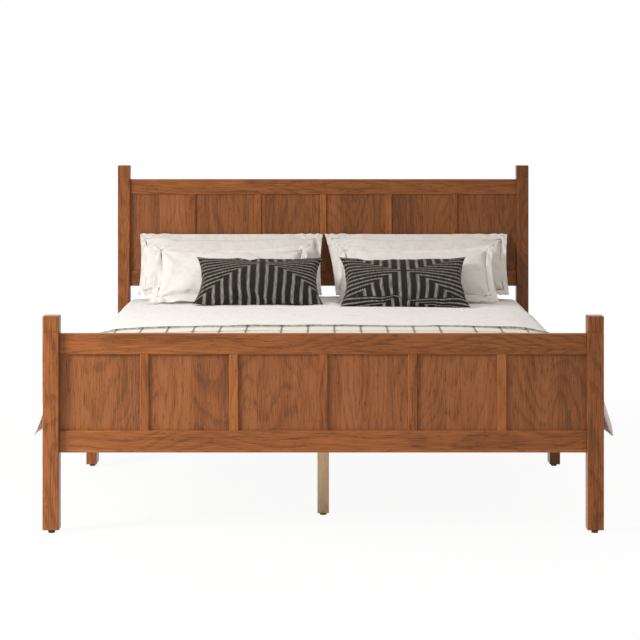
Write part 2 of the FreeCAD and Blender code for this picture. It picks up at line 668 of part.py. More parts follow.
def glides():
    made = []
    for index in range(LEGS):
        top = "glide_high + glide_pin_long"
        glide = turned(f"glide_{index}", [
            (0, 0), ("glide_bottom", 0), ("glide_top", "glide_high"),
            ("glide_pin_radius", "glide_high"), ("glide_pin_radius", top), (0, top)])
        made.append(place(glide, 0, leg_y(index), 0))
    return made


# ---- soft pieces ------------------------------------------------------------

MATTRESS_LOW = size("rail_bottom") + size("beam_high") + size("slat_thick") + size("cloth_gap")
MATTRESS_TOP = MATTRESS_LOW + size("mattress_thick")
DUVET_LOW = MATTRESS_TOP + size("cloth_gap")
DUVET_TOP = DUVET_LOW + size("duvet_thick") + size("duvet_crown")
SIDE_RAIL_FACE = (size("bed_width") - size("post_section") + size("side_rail_thick")) / 2
MATTRESS_EDGE = SIDE_RAIL_FACE - size("side_rail_thick") - size("mattress_side_gap")
POST_FACE = size("bed_length") / 2 - size("post_section")
DUVET_FOOT = POST_FACE - size("duvet_foot_gap")
DUVET_HEAD = POST_FACE - size("duvet_head_gap")


def feature(name, shape):
    made = doc.addObject("Part::Feature", name)
    made.Shape = shape
    return made


def mattress():
    wide = "bed_width - post_section - side_rail_thick - 2 * mattress_side_gap"
    blank = block("mattress_blank", 0, 0, f"{SLAT_TOP} + cloth_gap", wide,
                  f"2 * ({FACE_Y} - mattress_end_gap)", "mattress_thick")
    corners = ease("mattress_corners", blank, size("mattress_corner"), "z")
    doc.recompute()
    rounded = doc.addObject("Part::Fillet", "mattress")
    rounded.Base = corners
    flat = [number for number, edge in enumerate(corners.Shape.Edges, start=1) if edge.BoundBox.ZLength < 0.01]
    rounded.Edges = [(number, size("mattress_edge"), size("mattress_edge")) for number in flat]
    return rounded


def cover_half(y, hem):
    """Half the duvet's underside across the bed at y, from the middle down to the hem.
    Each point has the way in which the cloth thickens there, and its share of the crown."""
    edge = size("mattress_edge")
    rail_top = size("rail_bottom") + size("side_rail_high")
    wave = 0.5 + 0.5 * math.sin(2 * math.pi * y / size("fold_pitch"))
    near_foot = max(0.0, 1 - (y + DUVET_FOOT) / size("fold_pitch"))
    lean = size("duvet_flare") + size("fold_deep") * wave + size("corner_flare") * near_foot
    touch = SIDE_RAIL_FACE + size("cloth_gap")
    return [
        (0, DUVET_LOW, 0, 1, 1),
        (0.6 * MATTRESS_EDGE, DUVET_LOW, 0, 1, 0.85),
        (MATTRESS_EDGE - 0.8 * edge, DUVET_LOW, 0.1, 1, 0.2),
        (MATTRESS_EDGE - 0.1 * edge, DUVET_LOW - 0.15 * edge, 0.55, 0.85, 0),
        (MATTRESS_EDGE + 0.5 * edge, DUVET_LOW - edge, 0.9, 0.45, 0),
        (touch + 0.1 * lean, rail_top, 0.98, 0.2, 0),
        (touch + 0.5 * lean, (rail_top + hem) / 2, 1, 0.03, 0),
        (touch + lean, hem, 1, 0, 0),
    ]


def cloth_section(y, hem, under, over):
    """A closed section across the bed: the cloth between two heights over the duvet's underside.
    A height is a plain lift and how much of the duvet's crown is under it."""
    skins = []
    for lift, crown in (under, over):
        half = []
        for x, z, out, up, share in cover_half(y, hem):
            rise = lift + crown * share
            half.append((x + out * rise, z + up * rise))
        across = [(-x, z) for x, z in half[:0:-1]] + half
        skins.append([FreeCAD.Vector(x, y, z) for x, z in across])
    corners = skins[1] + skins[0][::-1]
    return Part.makePolygon(corners + corners[:1])


def cloth(name, stations, hem, under, over):
    """Cloth laid over the bed from side to side, lofted through its sections."""
    return feature(name, Part.makeLoft([cloth_section(y, hem, under, over) for y in stations], True, True))


def cloth_stations():
    """Sections a quarter fold apart, shared by the duvet and the throw on it."""
    step = size("fold_pitch") / 4
    count = math.ceil((DUVET_FOOT + DUVET_HEAD) / step)
    return [step * index - DUVET_FOOT for index in range(count)] + [DUVET_HEAD]


def duvet():
    over = (size("duvet_thick"), size("duvet_crown"))
    return cloth("duvet", cloth_stations(), size("duvet_hem"), (0, 0), over)


def throw_blanket():
    near, far = -size("throw_near"), -size("throw_far")
    stations = [near] + [y for y in cloth_stations() if near + 1 < y < far - 1] + [far]
    lift, crown = size("duvet_thick") + size("cloth_gap"), size("duvet_crown")
    over = (lift + size("throw_thick"), crown)
    return cloth("throw_blanket", stations, size("throw_hem"), (lift, crown), over)


def lens(x, half_high, half_thick, flange, half_edge):
    """A pillow's section: two crowned sides that meet in a flat flange."""
    crown = half_high - flange
    sides = []
    for side in (-1, 1):
        tips = [FreeCAD.Vector(x, side * half_edge, z) for z in (-half_high, -crown, crown, half_high)]
        path = [Part.Arc(tips[1], FreeCAD.Vector(x, side * half_thick, 0), tips[2]).toShape()]
        if flange:
            path.insert(0, Part.LineSegment(tips[0], tips[1]).toShape())
            path.append(Part.LineSegment(tips[2], tips[3]).toShape())
        sides.append(path)
    tops = [FreeCAD.Vector(x, side * half_edge, half_high) for side in (-1, 1)]
    toes = [FreeCAD.Vector(x, side * half_edge, -half_high) for side in (1, -1)]
    closing = [Part.LineSegment(*ends).toShape() for ends in (tops, toes)]
    return Part.Wire(sides[0] + [closing[0]] + sides[1][::-1] + [closing[1]])


PILLOW_FORM = [
    # share of the half width, of the crown's thickness and of the half height
    (1.00, 0.00, 1.00),
    (0.90, 0.30, 0.97),
    (0.72, 0.68, 0.95),
    (0.40, 0.93, 0.94),
    (0.00, 1.00, 0.93),
]


def pillow_shape(wide, high, thick, flange):
    """A crowned pillow with drawn-in sides, upright about the origin."""
    half_edge = size("flange_thick") / 2
    crown = thick / 2 - half_edge
    inside = wide / 2 - flange
    least = 0.2
    right = [(inside * along, high / 2 * tall, half_edge + max(crown * share, least))
             for along, share, tall in PILLOW_FORM]
    if flange:
        right.insert(0, (wide / 2, high / 2, half_edge + least))
    stations = [(-x, tall, half) for x, tall, half in right] + right[-2::-1]
    return Part.makeLoft([lens(x, tall, half, flange, half_edge) for x, tall, half in stations], True, True)


BACK_WIDE = size("bed_width") / 2 - size("post_section") - size("pair_gap") / 2 - size("back_side_gap")
PILLOWS = [
    # from the headboard forward: name, size names, width, inner edge, the pair's middle, flange
    ("back_pillow", "back", BACK_WIDE, size("pair_gap") / 2, 0, size("flange_wide")),
    ("front_pillow", "front", size("front_wide"), size("front_inner"), 0, size("flange_wide")),
    ("lumbar_cushion", "lumbar", size("lumbar_wide"), size("lumbar_inner"), size("lumbar_shift"), 0),
]


def pillow_middle(kind, behind):
    """Where a pillow's middle lies, along the bed and above the duvet, when it leans
    on the one behind it, or on the head rails."""
    lean, half = math.radians(size(kind + "_lean")), size(kind + "_high") / 2
    rise = half * math.cos(lean)
    if behind is None:
        rail_face = POST_FACE + (size("post_section") - size("rail_thick")) / 2
        return rail_face - size("lean_play") - half * math.sin(lean), rise
    slope = (lean + math.radians(size(behind[0] + "_lean"))) / 2
    apart = (size(kind + "_thick") + size(behind[0] + "_thick")) / 2 + size("lean_play")
    return behind[1] - (apart + (behind[2] - rise) * math.sin(slope)) / math.cos(slope), rise


def pillows():
    made = []
    behind = None
    for name, kind, wide, inner, middle, flange in PILLOWS:
        y, rise = pillow_middle(kind, behind)
        behind = (kind, y, rise)
        turn = FreeCAD.Rotation(FreeCAD.Vector(1, 0, 0), -size(kind + "_lean"))
        for side, sign in SIDES.items():
            shape = pillow_shape(wide, size(kind + "_high"), size(kind + "_thick"), flange)
            pillow = feature(f"{name}_{side}", shape)
            pillow.Placement = FreeCAD.Placement(FreeCAD.Vector(middle + sign * (inner + wide / 2), y, 0), turn)
            drop = DUVET_TOP + size("cloth_gap") - pillow.Shape.optimalBoundingBox(False).ZMin
            pillow.Placement.Base.z = drop
            made.append(pillow)
    return made


# ---- the whole bed ------------------------------------------------------------

def build():
    nodes = []
    for end in ENDS:
        nodes += [post(end, side) for side in SIDES]
        nodes += [rail(end, *facts) for facts in RAILS[end]]
        nodes += [mullion(end, number) for number in range(1, BAYS)]
        nodes += [panel(end, number) for number in range(1, BAYS + 1)]
    for side in SIDES:
        nodes += [side_rail(side), cleat(side), side_leg(side)]
    nodes.append(centre_beam())
    nodes += [centre_leg(index) for index in range(LEGS)]
    nodes.append(group("slats", [slat(index) for index in range(SLATS)]))
    corners = [(end, side) for end in ENDS for side in SIDES]
    nodes.append(group("slot_plates", [slot_plate(*corner) for corner in corners]))
    nodes.append(group("hook_plates", [hook_plate(*corner) for corner in corners]))
    steel_screws = [plate_screws(*corner) for corner in corners] + [bracket_screws(end) for end in ENDS]
    nodes.append(group("plate_and_bracket_screws", sum(steel_screws, [])))
    nodes.append(group("beam_brackets", [beam_bracket(end) for end in ENDS]))
    nodes.append(group("leg_bolts", [leg_bolt(f"leg_bolt_{index}", index) for index in range(LEGS)]))
    nodes.append(group("slat_and_cleat_screws", slat_and_cleat_screws()))
    nodes.append(group("tapered_feet", tapered_feet()))
    nodes.append(group("centre_leg_glides", glides()))
    nodes += [mattress(), duvet(), throw_blanket()]
    return nodes + pillows()


nodes = build()
doc.recompute()
for thing in doc.Objects:
    if hasattr(thing, "Shape") and not thing.isDerivedFrom("Sketcher::SketchObject"):
        check(thing)

os.makedirs("parts", exist_ok=True)
for node in nodes:
    node.Shape.exportStep(f"parts/{node.Label}.step")
print(len(nodes), "nodes,", sum(len(node.Shape.Solids) for node in nodes), "solids")
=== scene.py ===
import math
import bmesh
import bpy
from mathutils import Matrix, Vector, noise


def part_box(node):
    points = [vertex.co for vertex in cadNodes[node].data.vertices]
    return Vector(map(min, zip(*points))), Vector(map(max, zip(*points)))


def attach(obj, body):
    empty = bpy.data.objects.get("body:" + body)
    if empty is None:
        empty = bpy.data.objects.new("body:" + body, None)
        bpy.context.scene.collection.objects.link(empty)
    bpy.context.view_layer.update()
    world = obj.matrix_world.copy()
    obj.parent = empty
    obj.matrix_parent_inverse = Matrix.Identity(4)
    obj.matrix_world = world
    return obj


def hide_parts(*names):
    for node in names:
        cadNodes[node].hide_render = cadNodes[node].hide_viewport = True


# A queen panel bed with its bedding. Metres; +Y runs to the headboard, +Z up.

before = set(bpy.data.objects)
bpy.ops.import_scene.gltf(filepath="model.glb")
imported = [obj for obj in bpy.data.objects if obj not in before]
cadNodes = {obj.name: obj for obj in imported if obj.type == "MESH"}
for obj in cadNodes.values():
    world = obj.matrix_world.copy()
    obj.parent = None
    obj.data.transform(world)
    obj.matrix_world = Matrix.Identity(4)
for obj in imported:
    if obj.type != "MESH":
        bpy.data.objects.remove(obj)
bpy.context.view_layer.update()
scene = bpy.context.scene
print("frame loaded:", len(cadNodes), "nodes")


# camera, floor and light

cameraSetup = {
    "place": (0.0, -6.793, 1.258),
    "lens": 110.87,
    "shift": (-0.005, -0.343),
}
studio = {
    "keyPlace": (-3.66, -2.5, 2.3),
    "keyAim": (-2.0, -1.4, 0.0),
    "keySize": 1.1,
    "keySpread": 105.0,
    "keyPower": 92.0,
    "skyLow": 0.17,
    "skyHigh": 1.0,         # what the top of the sky adds
    "skyTint": (1.0, 0.94, 0.87, 1),
    "keyTint": (1.0, 0.985, 0.965),
    "floorTint": (0.76, 0.75, 0.73, 1),
    "floorWhite": 0.94,     # how much of the floor's look is plain white by the bed
    "floorFade": (1.0, 2.6),        # from here to here it turns wholly white
    "floorReach": 400,
}


def makeCamera():
    data = bpy.data.cameras.new("camera")
    data.sensor_width = 36
    data.lens = cameraSetup["lens"]
    data.shift_x, data.shift_y = cameraSetup["shift"]
    data.clip_end = 100
    camera = bpy.data.objects.new("camera", data)
    camera.location = cameraSetup["place"]
    camera.rotation_euler = (math.radians(90), 0, 0)
    scene.collection.objects.link(camera)
    scene.camera = camera


def addNode(tree, kind, sockets=None, **settings):
    made = tree.nodes.new(kind)
    for name, value in settings.items():
        setattr(made, name, value)
    for name, value in (sockets or {}).items():
        if isinstance(value, bpy.types.NodeSocket):
            tree.links.new(value, made.inputs[name])
        else:
            made.inputs[name].default_value = value
    return made


def calc(tree, operation, *values):
    return addNode(tree, "ShaderNodeMath", dict(enumerate(values)), operation=operation).outputs[0]


def sum3(tree, first, second, third):
    return calc(tree, "ADD", calc(tree, "ADD", first, second), third)


def seenDirectly(tree):
    # 1 for what the camera, a reflection or a clear surface sees
    path = addNode(tree, "ShaderNodeLightPath")
    seen = sum3(tree, path.outputs["Is Camera Ray"], path.outputs["Is Glossy Ray"],
                path.outputs["Is Transmission Ray"])
    return calc(tree, "MINIMUM", seen, 1.0)


def makeStudio():
    world = bpy.data.worlds.new("studio")
    scene.world = world
    world.use_nodes = True
    tree = world.node_tree
    tree.nodes.clear()
    up = addNode(tree, "ShaderNodeSeparateXYZ", {0: addNode(tree, "ShaderNodeTexCoord").outputs["Generated"]})
    rise = calc(tree, "POWER", calc(tree, "MAXIMUM", up.outputs[2], 0.0), 2.0)
    level = calc(tree, "MULTIPLY_ADD", rise, studio["skyHigh"], studio["skyLow"])
    soft = addNode(tree, "ShaderNodeBackground", {"Color": studio["skyTint"], "Strength": level})
    white = addNode(tree, "ShaderNodeBackground", {"Color": (1, 1, 1, 1), "Strength": 1.0})
    both = addNode(tree, "ShaderNodeMixShader", {0: seenDirectly(tree), 1: soft.outputs[0], 2: white.outputs[0]})
    addNode(tree, "ShaderNodeOutputWorld", {0: both.outputs[0]})

    lamp = bpy.data.lights.new("key", "AREA")
    lamp.shape = "SQUARE"
    lamp.size = studio["keySize"]
    lamp.energy = studio["keyPower"]
    lamp.spread = math.radians(studio["keySpread"])
    lamp.color = studio["keyTint"]
    key = bpy.data.objects.new("key", lamp)
    aim = Vector(studio["keyAim"]) - Vector(studio["keyPlace"])
    key.matrix_world = Matrix.Translation(studio["keyPlace"]) @ aim.to_track_quat("-Z", "Y").to_matrix().to_4x4()
    scene.collection.objects.link(key)

    mesh = bmesh.new()
    bmesh.ops.create_grid(mesh, x_segments=1, y_segments=1, size=studio["floorReach"])
    floor = newPiece("floor", mesh)
    pale = bpy.data.materials.new("paleFloor")
    pale.use_nodes = True
    tree = pale.node_tree
    tree.nodes.clear()
    plain = addNode(tree, "ShaderNodeBsdfDiffuse", {"Color": studio["floorTint"]})
    lit = addNode(tree, "ShaderNodeEmission", {"Color": (1, 1, 1, 1), "Strength": 1.0})
    where = addNode(tree, "ShaderNodeTexCoord").outputs["Object"]
    away = addNode(tree, "ShaderNodeVectorMath", {0: where}, operation="LENGTH").outputs["Value"]
    near, far = studio["floorFade"]
    white = addNode(tree, "ShaderNodeMapRange", {"Value": away, "From Min": near, "From Max": far,
                                                 "To Min": studio["floorWhite"], "To Max": 1.0}).outputs[0]
    share = calc(tree, "MULTIPLY", seenDirectly(tree), white)
    both = addNode(tree, "ShaderNodeMixShader", {0: share, 1: plain.outputs[0], 2: lit.outputs[0]})
    addNode(tree, "ShaderNodeOutputMaterial", {0: both.outputs[0]})
    floor.data.materials.append(pale)
    scene.view_settings.view_transform = "Standard"


def newPiece(name, mesh, smooth=False):
    # A finished bmesh becomes an object at the origin
    data = bpy.data.meshes.new(name)
    mesh.to_mesh(data)
    mesh.free()
    for face in data.polygons:
        face.use_smooth = smooth
    piece = bpy.data.objects.new(name, data)
    scene.collection.objects.link(piece)
    return piece


makeCamera()
makeStudio()
print("camera and studio ready")


# shared shader groups

def colour(red, green, blue):
    # A picture colour, 0 to 255, as the shader's linear one
    parts = []
    for part in (red, green, blue):
        part /= 255
        parts.append(part / 12.92 if part <= 0.04045 else ((part + 0.055) / 1.055) ** 2.4)
    return (*parts, 1)


def newGroup(name, inputs, outputs):
    tree = bpy.data.node_groups.new(name, "ShaderNodeTree")
    for label, kind, value in inputs:
        socket = tree.interface.new_socket(label, in_out="INPUT", socket_type="NodeSocket" + kind)
        if value is not None:
            socket.default_value = value
    for label, kind in outputs:
        tree.interface.new_socket(label, in_out="OUTPUT", socket_type="NodeSocket" + kind)
    return tree, tree.nodes.new("NodeGroupInput").outputs, tree.nodes.new("NodeGroupOutput").inputs


def speckle(tree, where, scale, detail, roughness=0.5, distortion=0.0):
    made = addNode(tree, "ShaderNodeTexNoise", {"Vector": where, "Scale": scale, "Detail": detail,
                                                "Roughness": roughness, "Distortion": distortion})
    return made.outputs["Fac"]


def rising(tree, value, low, high, **settings):
    # 0 up to low, 1 from high on
    made = addNode(tree, "ShaderNodeMapRange", {"Value": value, "From Min": low, "From Max": high}, **settings)
    return made.outputs[0]


def fading(tree, value, near, far):
    # 1 up to near, 0 from far on
    return rising(tree, value, far, near)


# each noise has its scale over the board's width and depth, its scale along the board, detail and roughness
grain = {
    "drift": (3.0, 1.1, 2.0, 0.5),
    "ripple": (40.0, 6.0, 3.0, 0.5),
    "fine": (420.0, 12.0, 3.0, 0.6),
    "cloud": (26.0, 1.7, 3.0, 0.5),
    "fleck": (260.0, 45.0, 1.0, 0.5),
    "boardScatter": 0.6,
    "boardStart": 40.0,     # each board is cut from somewhere else along the tree
    "heartSpread": 0.16,
    "heartShift": 0.3,
    "heartReach": 0.09,
    "heartDrift": 0.042,
    "heartDeep": 0.008,
    "ringRipple": 0.9,
    "lateFrom": (0.45, 0.86),       # as shares of a ring
    "lateEnd": (0.9, 1.0),
    "fleckFrom": (0.62, 0.7),
}


def grainNoise(tree, given, along, kind):
    # noise drawn out along the grain
    wide, long, detail, roughness = grain[kind]
    where = addNode(tree, "ShaderNodeCombineXYZ", {
        0: calc(tree, "MULTIPLY", given["Across"], wide), 1: calc(tree, "MULTIPLY", given["Depth"], wide),
        2: calc(tree, "MULTIPLY", along, long)})
    return speckle(tree, where.outputs[0], 1.0, detail, roughness)


def makeWoodFigure():
    # growth rings cut by a board's face, with pores, for grain that runs Along
    tree, given, made = newGroup(
        "woodFigure",
        [("Across", "Float", 0.0), ("Depth", "Float", 0.0), ("Along", "Float", 0.0), ("Board Width", "Float", 5.0),
         ("Seed", "Float", 0.0), ("Ring Spacing", "Float", 0.0035)],
        [("Rings", "Float"), ("Streaks", "Float"), ("Cloud", "Float"), ("Flecks", "Float"), ("Board Tone", "Float"),
         ("Height", "Float")])
    place = calc(tree, "ADD", calc(tree, "DIVIDE", given["Across"], given["Board Width"]), given["Seed"])
    boards = addNode(tree, "ShaderNodeTexVoronoi", {"W": place, "Scale": 1.0, "Randomness": grain["boardScatter"]},
                     voronoi_dimensions="1D", feature="F1")
    red, green, blue = addNode(tree, "ShaderNodeSeparateColor", {0: boards.outputs["Color"]}).outputs
    start = calc(tree, "ADD", calc(tree, "MULTIPLY", blue, grain["boardStart"]), given["Seed"])
    along = calc(tree, "ADD", given["Along"], start)
    drift, ripple, fine, cloud, fleck = (grainNoise(tree, given, along, kind) for kind in (
        "drift", "ripple", "fine", "cloud", "fleck"))
    # the heart of the tree lies behind the face, and wanders along the board
    middle = calc(tree, "MULTIPLY", calc(tree, "SUBTRACT", red, 0.5), grain["heartSpread"])
    fromMiddle = calc(tree, "ADD", calc(tree, "SUBTRACT", given["Across"], middle),
                      calc(tree, "MULTIPLY", green, grain["heartShift"]))
    fromMiddle = calc(tree, "PINGPONG", fromMiddle, grain["heartReach"])
    behind = sum3(tree, given["Depth"], calc(tree, "MULTIPLY", drift, grain["heartDrift"]), grain["heartDeep"])
    square = calc(tree, "ADD", calc(tree, "MULTIPLY", fromMiddle, fromMiddle), calc(tree, "MULTIPLY", behind, behind))
    phase = calc(tree, "ADD", calc(tree, "DIVIDE", calc(tree, "SQRT", square), given["Ring Spacing"]),
                 calc(tree, "MULTIPLY", ripple, grain["ringRipple"]))
    # a late line that comes on softly and ends sharply
    turn = calc(tree, "FRACT", phase)
    late = rising(tree, turn, *grain["lateFrom"], interpolation_type="SMOOTHSTEP")
    ring = calc(tree, "MULTIPLY", late, fading(tree, turn, *grain["lateEnd"]))
    height = calc(tree, "ADD", calc(tree, "MULTIPLY", fine, 0.6), calc(tree, "MULTIPLY", ring, 0.4))
    results = {"Rings": ring, "Streaks": fine, "Cloud": cloud, "Flecks": rising(tree, fleck, *grain["fleckFrom"]),
               "Board Tone": red, "Height": height}
    for name, value in results.items():
        tree.links.new(value, made[name])
    return tree


def makeClothWeave():
    # threads that cross, slubs and soft creases, for cloth measured in metres
    tree, given, made = newGroup(
        "clothWeave",
        [("Vector", "Vector", None), ("Thread", "Float", 0.0016), ("Crease Size", "Float", 0.12)],
        [("Threads", "Float"), ("Creases", "Float"), ("Slubs", "Float")])
    part = addNode(tree, "ShaderNodeSeparateXYZ", {0: given["Vector"]})
    waves = []
    for axis in range(3):
        turns = calc(tree, "DIVIDE", part.outputs[axis], given["Thread"])
        waves.append(calc(tree, "SINE", calc(tree, "MULTIPLY", turns, 2 * math.pi)))
    tree.links.new(sum3(tree, *waves), made["Threads"])
    size = addNode(tree, "ShaderNodeCombineXYZ", {axis: given["Crease Size"] for axis in range(3)})
    scaled = addNode(tree, "ShaderNodeVectorMath", {0: given["Vector"], 1: size.outputs[0]}, operation="DIVIDE")
    bend = speckle(tree, scaled.outputs[0], 1.0, 4.0, roughness=0.55, distortion=1.2)
    ridge = calc(tree, "ABSOLUTE", calc(tree, "SUBTRACT", bend, 0.5))
    tree.links.new(calc(tree, "SUBTRACT", 1.0, calc(tree, "MULTIPLY", ridge, 4.0)), made["Creases"])
    tree.links.new(speckle(tree, given["Vector"], 60.0, 3.0), made["Slubs"])
    return tree


woodFigure = makeWoodFigure()
clothWeave = makeClothWeave()


def addGroup(tree, group, **sockets):
    labels = {"boardWidth": "Board Width", "ringSpacing": "Ring Spacing", "creaseSize": "Crease Size"}
    named = {labels.get(name, name.capitalize()): value for name, value in sockets.items()}
    return addNode(tree, "ShaderNodeGroup", named, node_tree=group).outputs


def newMaterial(name, **values):
    # A material with its Principled shader; values are set on the shader's own sockets
    made = bpy.data.materials.new(name)
    made.use_nodes = True
    tree = made.node_tree
    shader = tree.nodes["Principled BSDF"]
    for socket, value in values.items():
        shader.inputs[socket].default_value = value
    return made, tree, shader


def bump(tree, shader, height, strength, distance, over=None):
    made = addNode(tree, "ShaderNodeBump", {"Height": height, "Strength": strength, "Distance": distance})
    if over:
        tree.links.new(over, made.inputs["Normal"])
    tree.links.new(made.outputs[0], shader.inputs["Normal"])


def ramp(tree, value, stops):
    made = addNode(tree, "ShaderNodeValToRGB", {0: value})
    bar = made.color_ramp
    stops = list(stops)
    while len(bar.elements) < len(stops):
        bar.elements.new(1.0)
    for element, (place, tint) in zip(bar.elements, stops):
        element.position = place
        element.color = tint
    return made.outputs[0]


# wood

cherry = {
    "dark": colour(108, 62, 33),
    "middle": colour(160, 97, 51),
    "light": colour(186, 120, 71),
    "roughness": 0.22,
    "gloss": 0.24,
    "ringSpacing": 0.0018,
}
veneer = {
    "dark": colour(106, 64, 38),
    "middle": colour(154, 95, 56),
    "light": colour(178, 117, 75),
    "roughness": 0.28,
    "gloss": 0.22,
    "ringSpacing": 0.0018,
}
pine = {
    "dark": colour(214, 180, 136),
    "middle": colour(238, 214, 178),
    "light": colour(246, 230, 202),
    "roughness": 0.47,
    "gloss": 0.3,
    "ringSpacing": 0.005,
}
woodLook = {
    "streaks": 0.74,
    "cloud": 0.34,
    "rings": -0.095,
    "boardTone": 0.16,
    "flecks": -0.14,
    "paintedEdgeHighlight": 0.2,
    "edgeHighlightTurn": (0.86, 0.98),       # cosine of how far the rounding turns the surface
    "lift": 0.018,
    "stops": (0.32, 0.6, 0.9),
    "roughStreaks": 0.16,
    "edgeRadius": 0.0028,
    "veneerStrip": 0.12,        # width of the strips that a panel's face is laid from
    "wholeBoard": 5.0,
}
grainRuns = {"up": "XYZ", "across": "ZYX", "along": "ZXY"}      # board width, board depth, grain
# boards that are lighter or darker than the rest of the timber: partly their own tone, partly painted shade and light.
# The right end of the headboard and the right side leg are darkened as painted shade, and the centre leg is lightened
# as painted light
boardTonesAndPaintedShading = {"foot_bottom_rail": 0.05, "foot_top_rail": 0.01, "foot_panel_1": 0.02, "foot_panel_3": 0.05,
              "foot_panel_4": -0.04, "foot_panel_5": 0.02, "foot_post_left": 0.03, "head_top_rail": -0.05,
              "head_post_left": -0.06, "head_post_right": -0.12, "head_panel_1": 0.06, "head_panel_5": -0.03,
              "head_panel_6": -0.1, "side_leg_left": -0.06, "side_leg_right": -0.2, "centre_leg_1": 0.12}


def woodMaterial(board, kind, run, boardWidth, seed):
    look = woodLook
    made, tree, shader = newMaterial(board + "Wood", **{"Specular IOR Level": kind["gloss"]})
    where = addNode(tree, "ShaderNodeTexCoord").outputs["Object"]
    part = addNode(tree, "ShaderNodeSeparateXYZ", {0: where})
    across, depth, along = (part.outputs["XYZ".index(axis)] for axis in grainRuns[run])
    figure = addGroup(tree, woodFigure, across=across, depth=depth, along=along, boardWidth=boardWidth, seed=seed,
                      ringSpacing=kind["ringSpacing"])
    shade = sum3(tree, calc(tree, "MULTIPLY", figure["Streaks"], look["streaks"]),
                 calc(tree, "MULTIPLY", figure["Cloud"], look["cloud"]),
                 calc(tree, "MULTIPLY", figure["Rings"], look["rings"]))
    tone = calc(tree, "MULTIPLY", calc(tree, "SUBTRACT", figure["Board Tone"], 0.5), look["boardTone"])
    shade = sum3(tree, shade, tone, calc(tree, "MULTIPLY", figure["Flecks"], look["flecks"]))
    # painted highlight: the base colour is made lighter on the rounded edges, where they would catch the light
    rounded = addNode(tree, "ShaderNodeBevel", {"Radius": look["edgeRadius"]}, samples=4).outputs[0]
    flat = addNode(tree, "ShaderNodeNewGeometry").outputs["True Normal"]
    turned = addNode(tree, "ShaderNodeVectorMath", {0: rounded, 1: flat}, operation="DOT_PRODUCT").outputs["Value"]
    edge = fading(tree, turned, *look["edgeHighlightTurn"])
    # painted highlight on the edges, and painted shade and light from the board list, are added to the colour here
    shade = sum3(tree, shade, calc(tree, "MULTIPLY", edge, look["paintedEdgeHighlight"]),
                 look["lift"] + boardTonesAndPaintedShading.get(board, 0.0))
    tint = ramp(tree, shade, zip(look["stops"], (kind["dark"], kind["middle"], kind["light"])))
    tree.links.new(tint, shader.inputs["Base Color"])
    rough = calc(tree, "MULTIPLY_ADD", figure["Streaks"], look["roughStreaks"], kind["roughness"])
    tree.links.new(rough, shader.inputs["Roughness"])
    bump(tree, shader, figure["Height"], 0.35, 0.0006, rounded)
    return made


def dressWood():
    # every board gets its own cut of the same timber
    strip, whole = woodLook["veneerStrip"], woodLook["wholeBoard"]
    seed = 3.0
    for name, node in sorted(cadNodes.items()):
        seed += 7.31
        if name.startswith(("foot_", "head_", "side_")):
            if "panel" in name:
                made = woodMaterial(name, veneer, "up", strip, seed)
            elif "side_rail" in name:
                made = woodMaterial(name, cherry, "along", whole, seed)
            elif "rail" in name:
                made = woodMaterial(name, cherry, "across", whole, seed)
            else:
                made = woodMaterial(name, cherry, "up", whole, seed)
        elif name == "slats":
            made = woodMaterial(name, pine, "across", whole, seed)
        elif name.startswith(("cleat", "centre_beam")):
            made = woodMaterial(name, pine, "along", whole, seed)
        elif name.startswith("centre_leg_") and name != "centre_leg_glides":
            made = woodMaterial(name, pine, "up", whole, seed)
        else:
            continue
        paint(node, made)


def paint(piece, material):
    piece.data.materials.clear()
    piece.data.materials.append(material)


def dressHardware():
    steel, tree, shader = newMaterial("zincPlate", **{"Metallic": 1.0})
    where = addNode(tree, "ShaderNodeTexCoord").outputs["Object"]
    spangle = speckle(tree, where, 180.0, 3.0)
    tree.links.new(calc(tree, "MULTIPLY_ADD", spangle, 0.24, 0.26), shader.inputs["Roughness"])
    tint = ramp(tree, spangle, [(0.3, colour(158, 160, 158)), (0.7, colour(190, 191, 188))])
    tree.links.new(tint, shader.inputs["Base Color"])
    black, tree, shader = newMaterial("blackPlastic", **{"Roughness": 0.5})
    where = addNode(tree, "ShaderNodeTexCoord").outputs["Object"]
    pebble = speckle(tree, where, 900.0, 2.0)
    tint = ramp(tree, pebble, [(0.3, colour(17, 16, 16)), (0.75, colour(30, 29, 28))])
    tree.links.new(tint, shader.inputs["Base Color"])
    bump(tree, shader, pebble, 0.3, 0.0003)
    for name in ("slot_plates", "hook_plates", "plate_and_bracket_screws", "beam_brackets", "leg_bolts",
                 "slat_and_cleat_screws"):
        paint(cadNodes[name], steel)
    for name in ("tapered_feet", "centre_leg_glides"):
        paint(cadNodes[name], black)


dressWood()
dressHardware()
print("wood and hardware dressed")


# cloth materials

duvetCotton = {
    "tint": colour(246, 246, 246),
    "shadow": colour(236, 236, 236),
    "creaseSize": 0.075,
    "creaseDepth": 0.0044,
}
pillowCotton = {
    "tint": colour(237, 235, 232),
    "shadow": colour(224, 220, 214),
    "creaseSize": 0.10,
    "creaseDepth": 0.0022,
}


def cottonMaterial(name, look):
    made, tree, shader = newMaterial(name, **{"Roughness": 0.9, "Sheen Weight": 0.15, "Sheen Roughness": 0.5,
                                              "Specular IOR Level": 0.2})
    where = addNode(tree, "ShaderNodeTexCoord").outputs["Object"]
    weave = addGroup(tree, clothWeave, vector=where, thread=0.0022, creaseSize=look["creaseSize"])
    mix = calc(tree, "ADD", calc(tree, "MULTIPLY", weave["Slubs"], 0.5), calc(tree, "MULTIPLY", weave["Creases"], 0.4))
    tint = ramp(tree, mix, [(0.25, look["shadow"]), (0.6, look["tint"])])
    tree.links.new(tint, shader.inputs["Base Color"])
    height = calc(tree, "ADD", calc(tree, "MULTIPLY", weave["Threads"], 0.02), weave["Creases"])
    bump(tree, shader, height, 0.6, look["creaseDepth"])
    return made


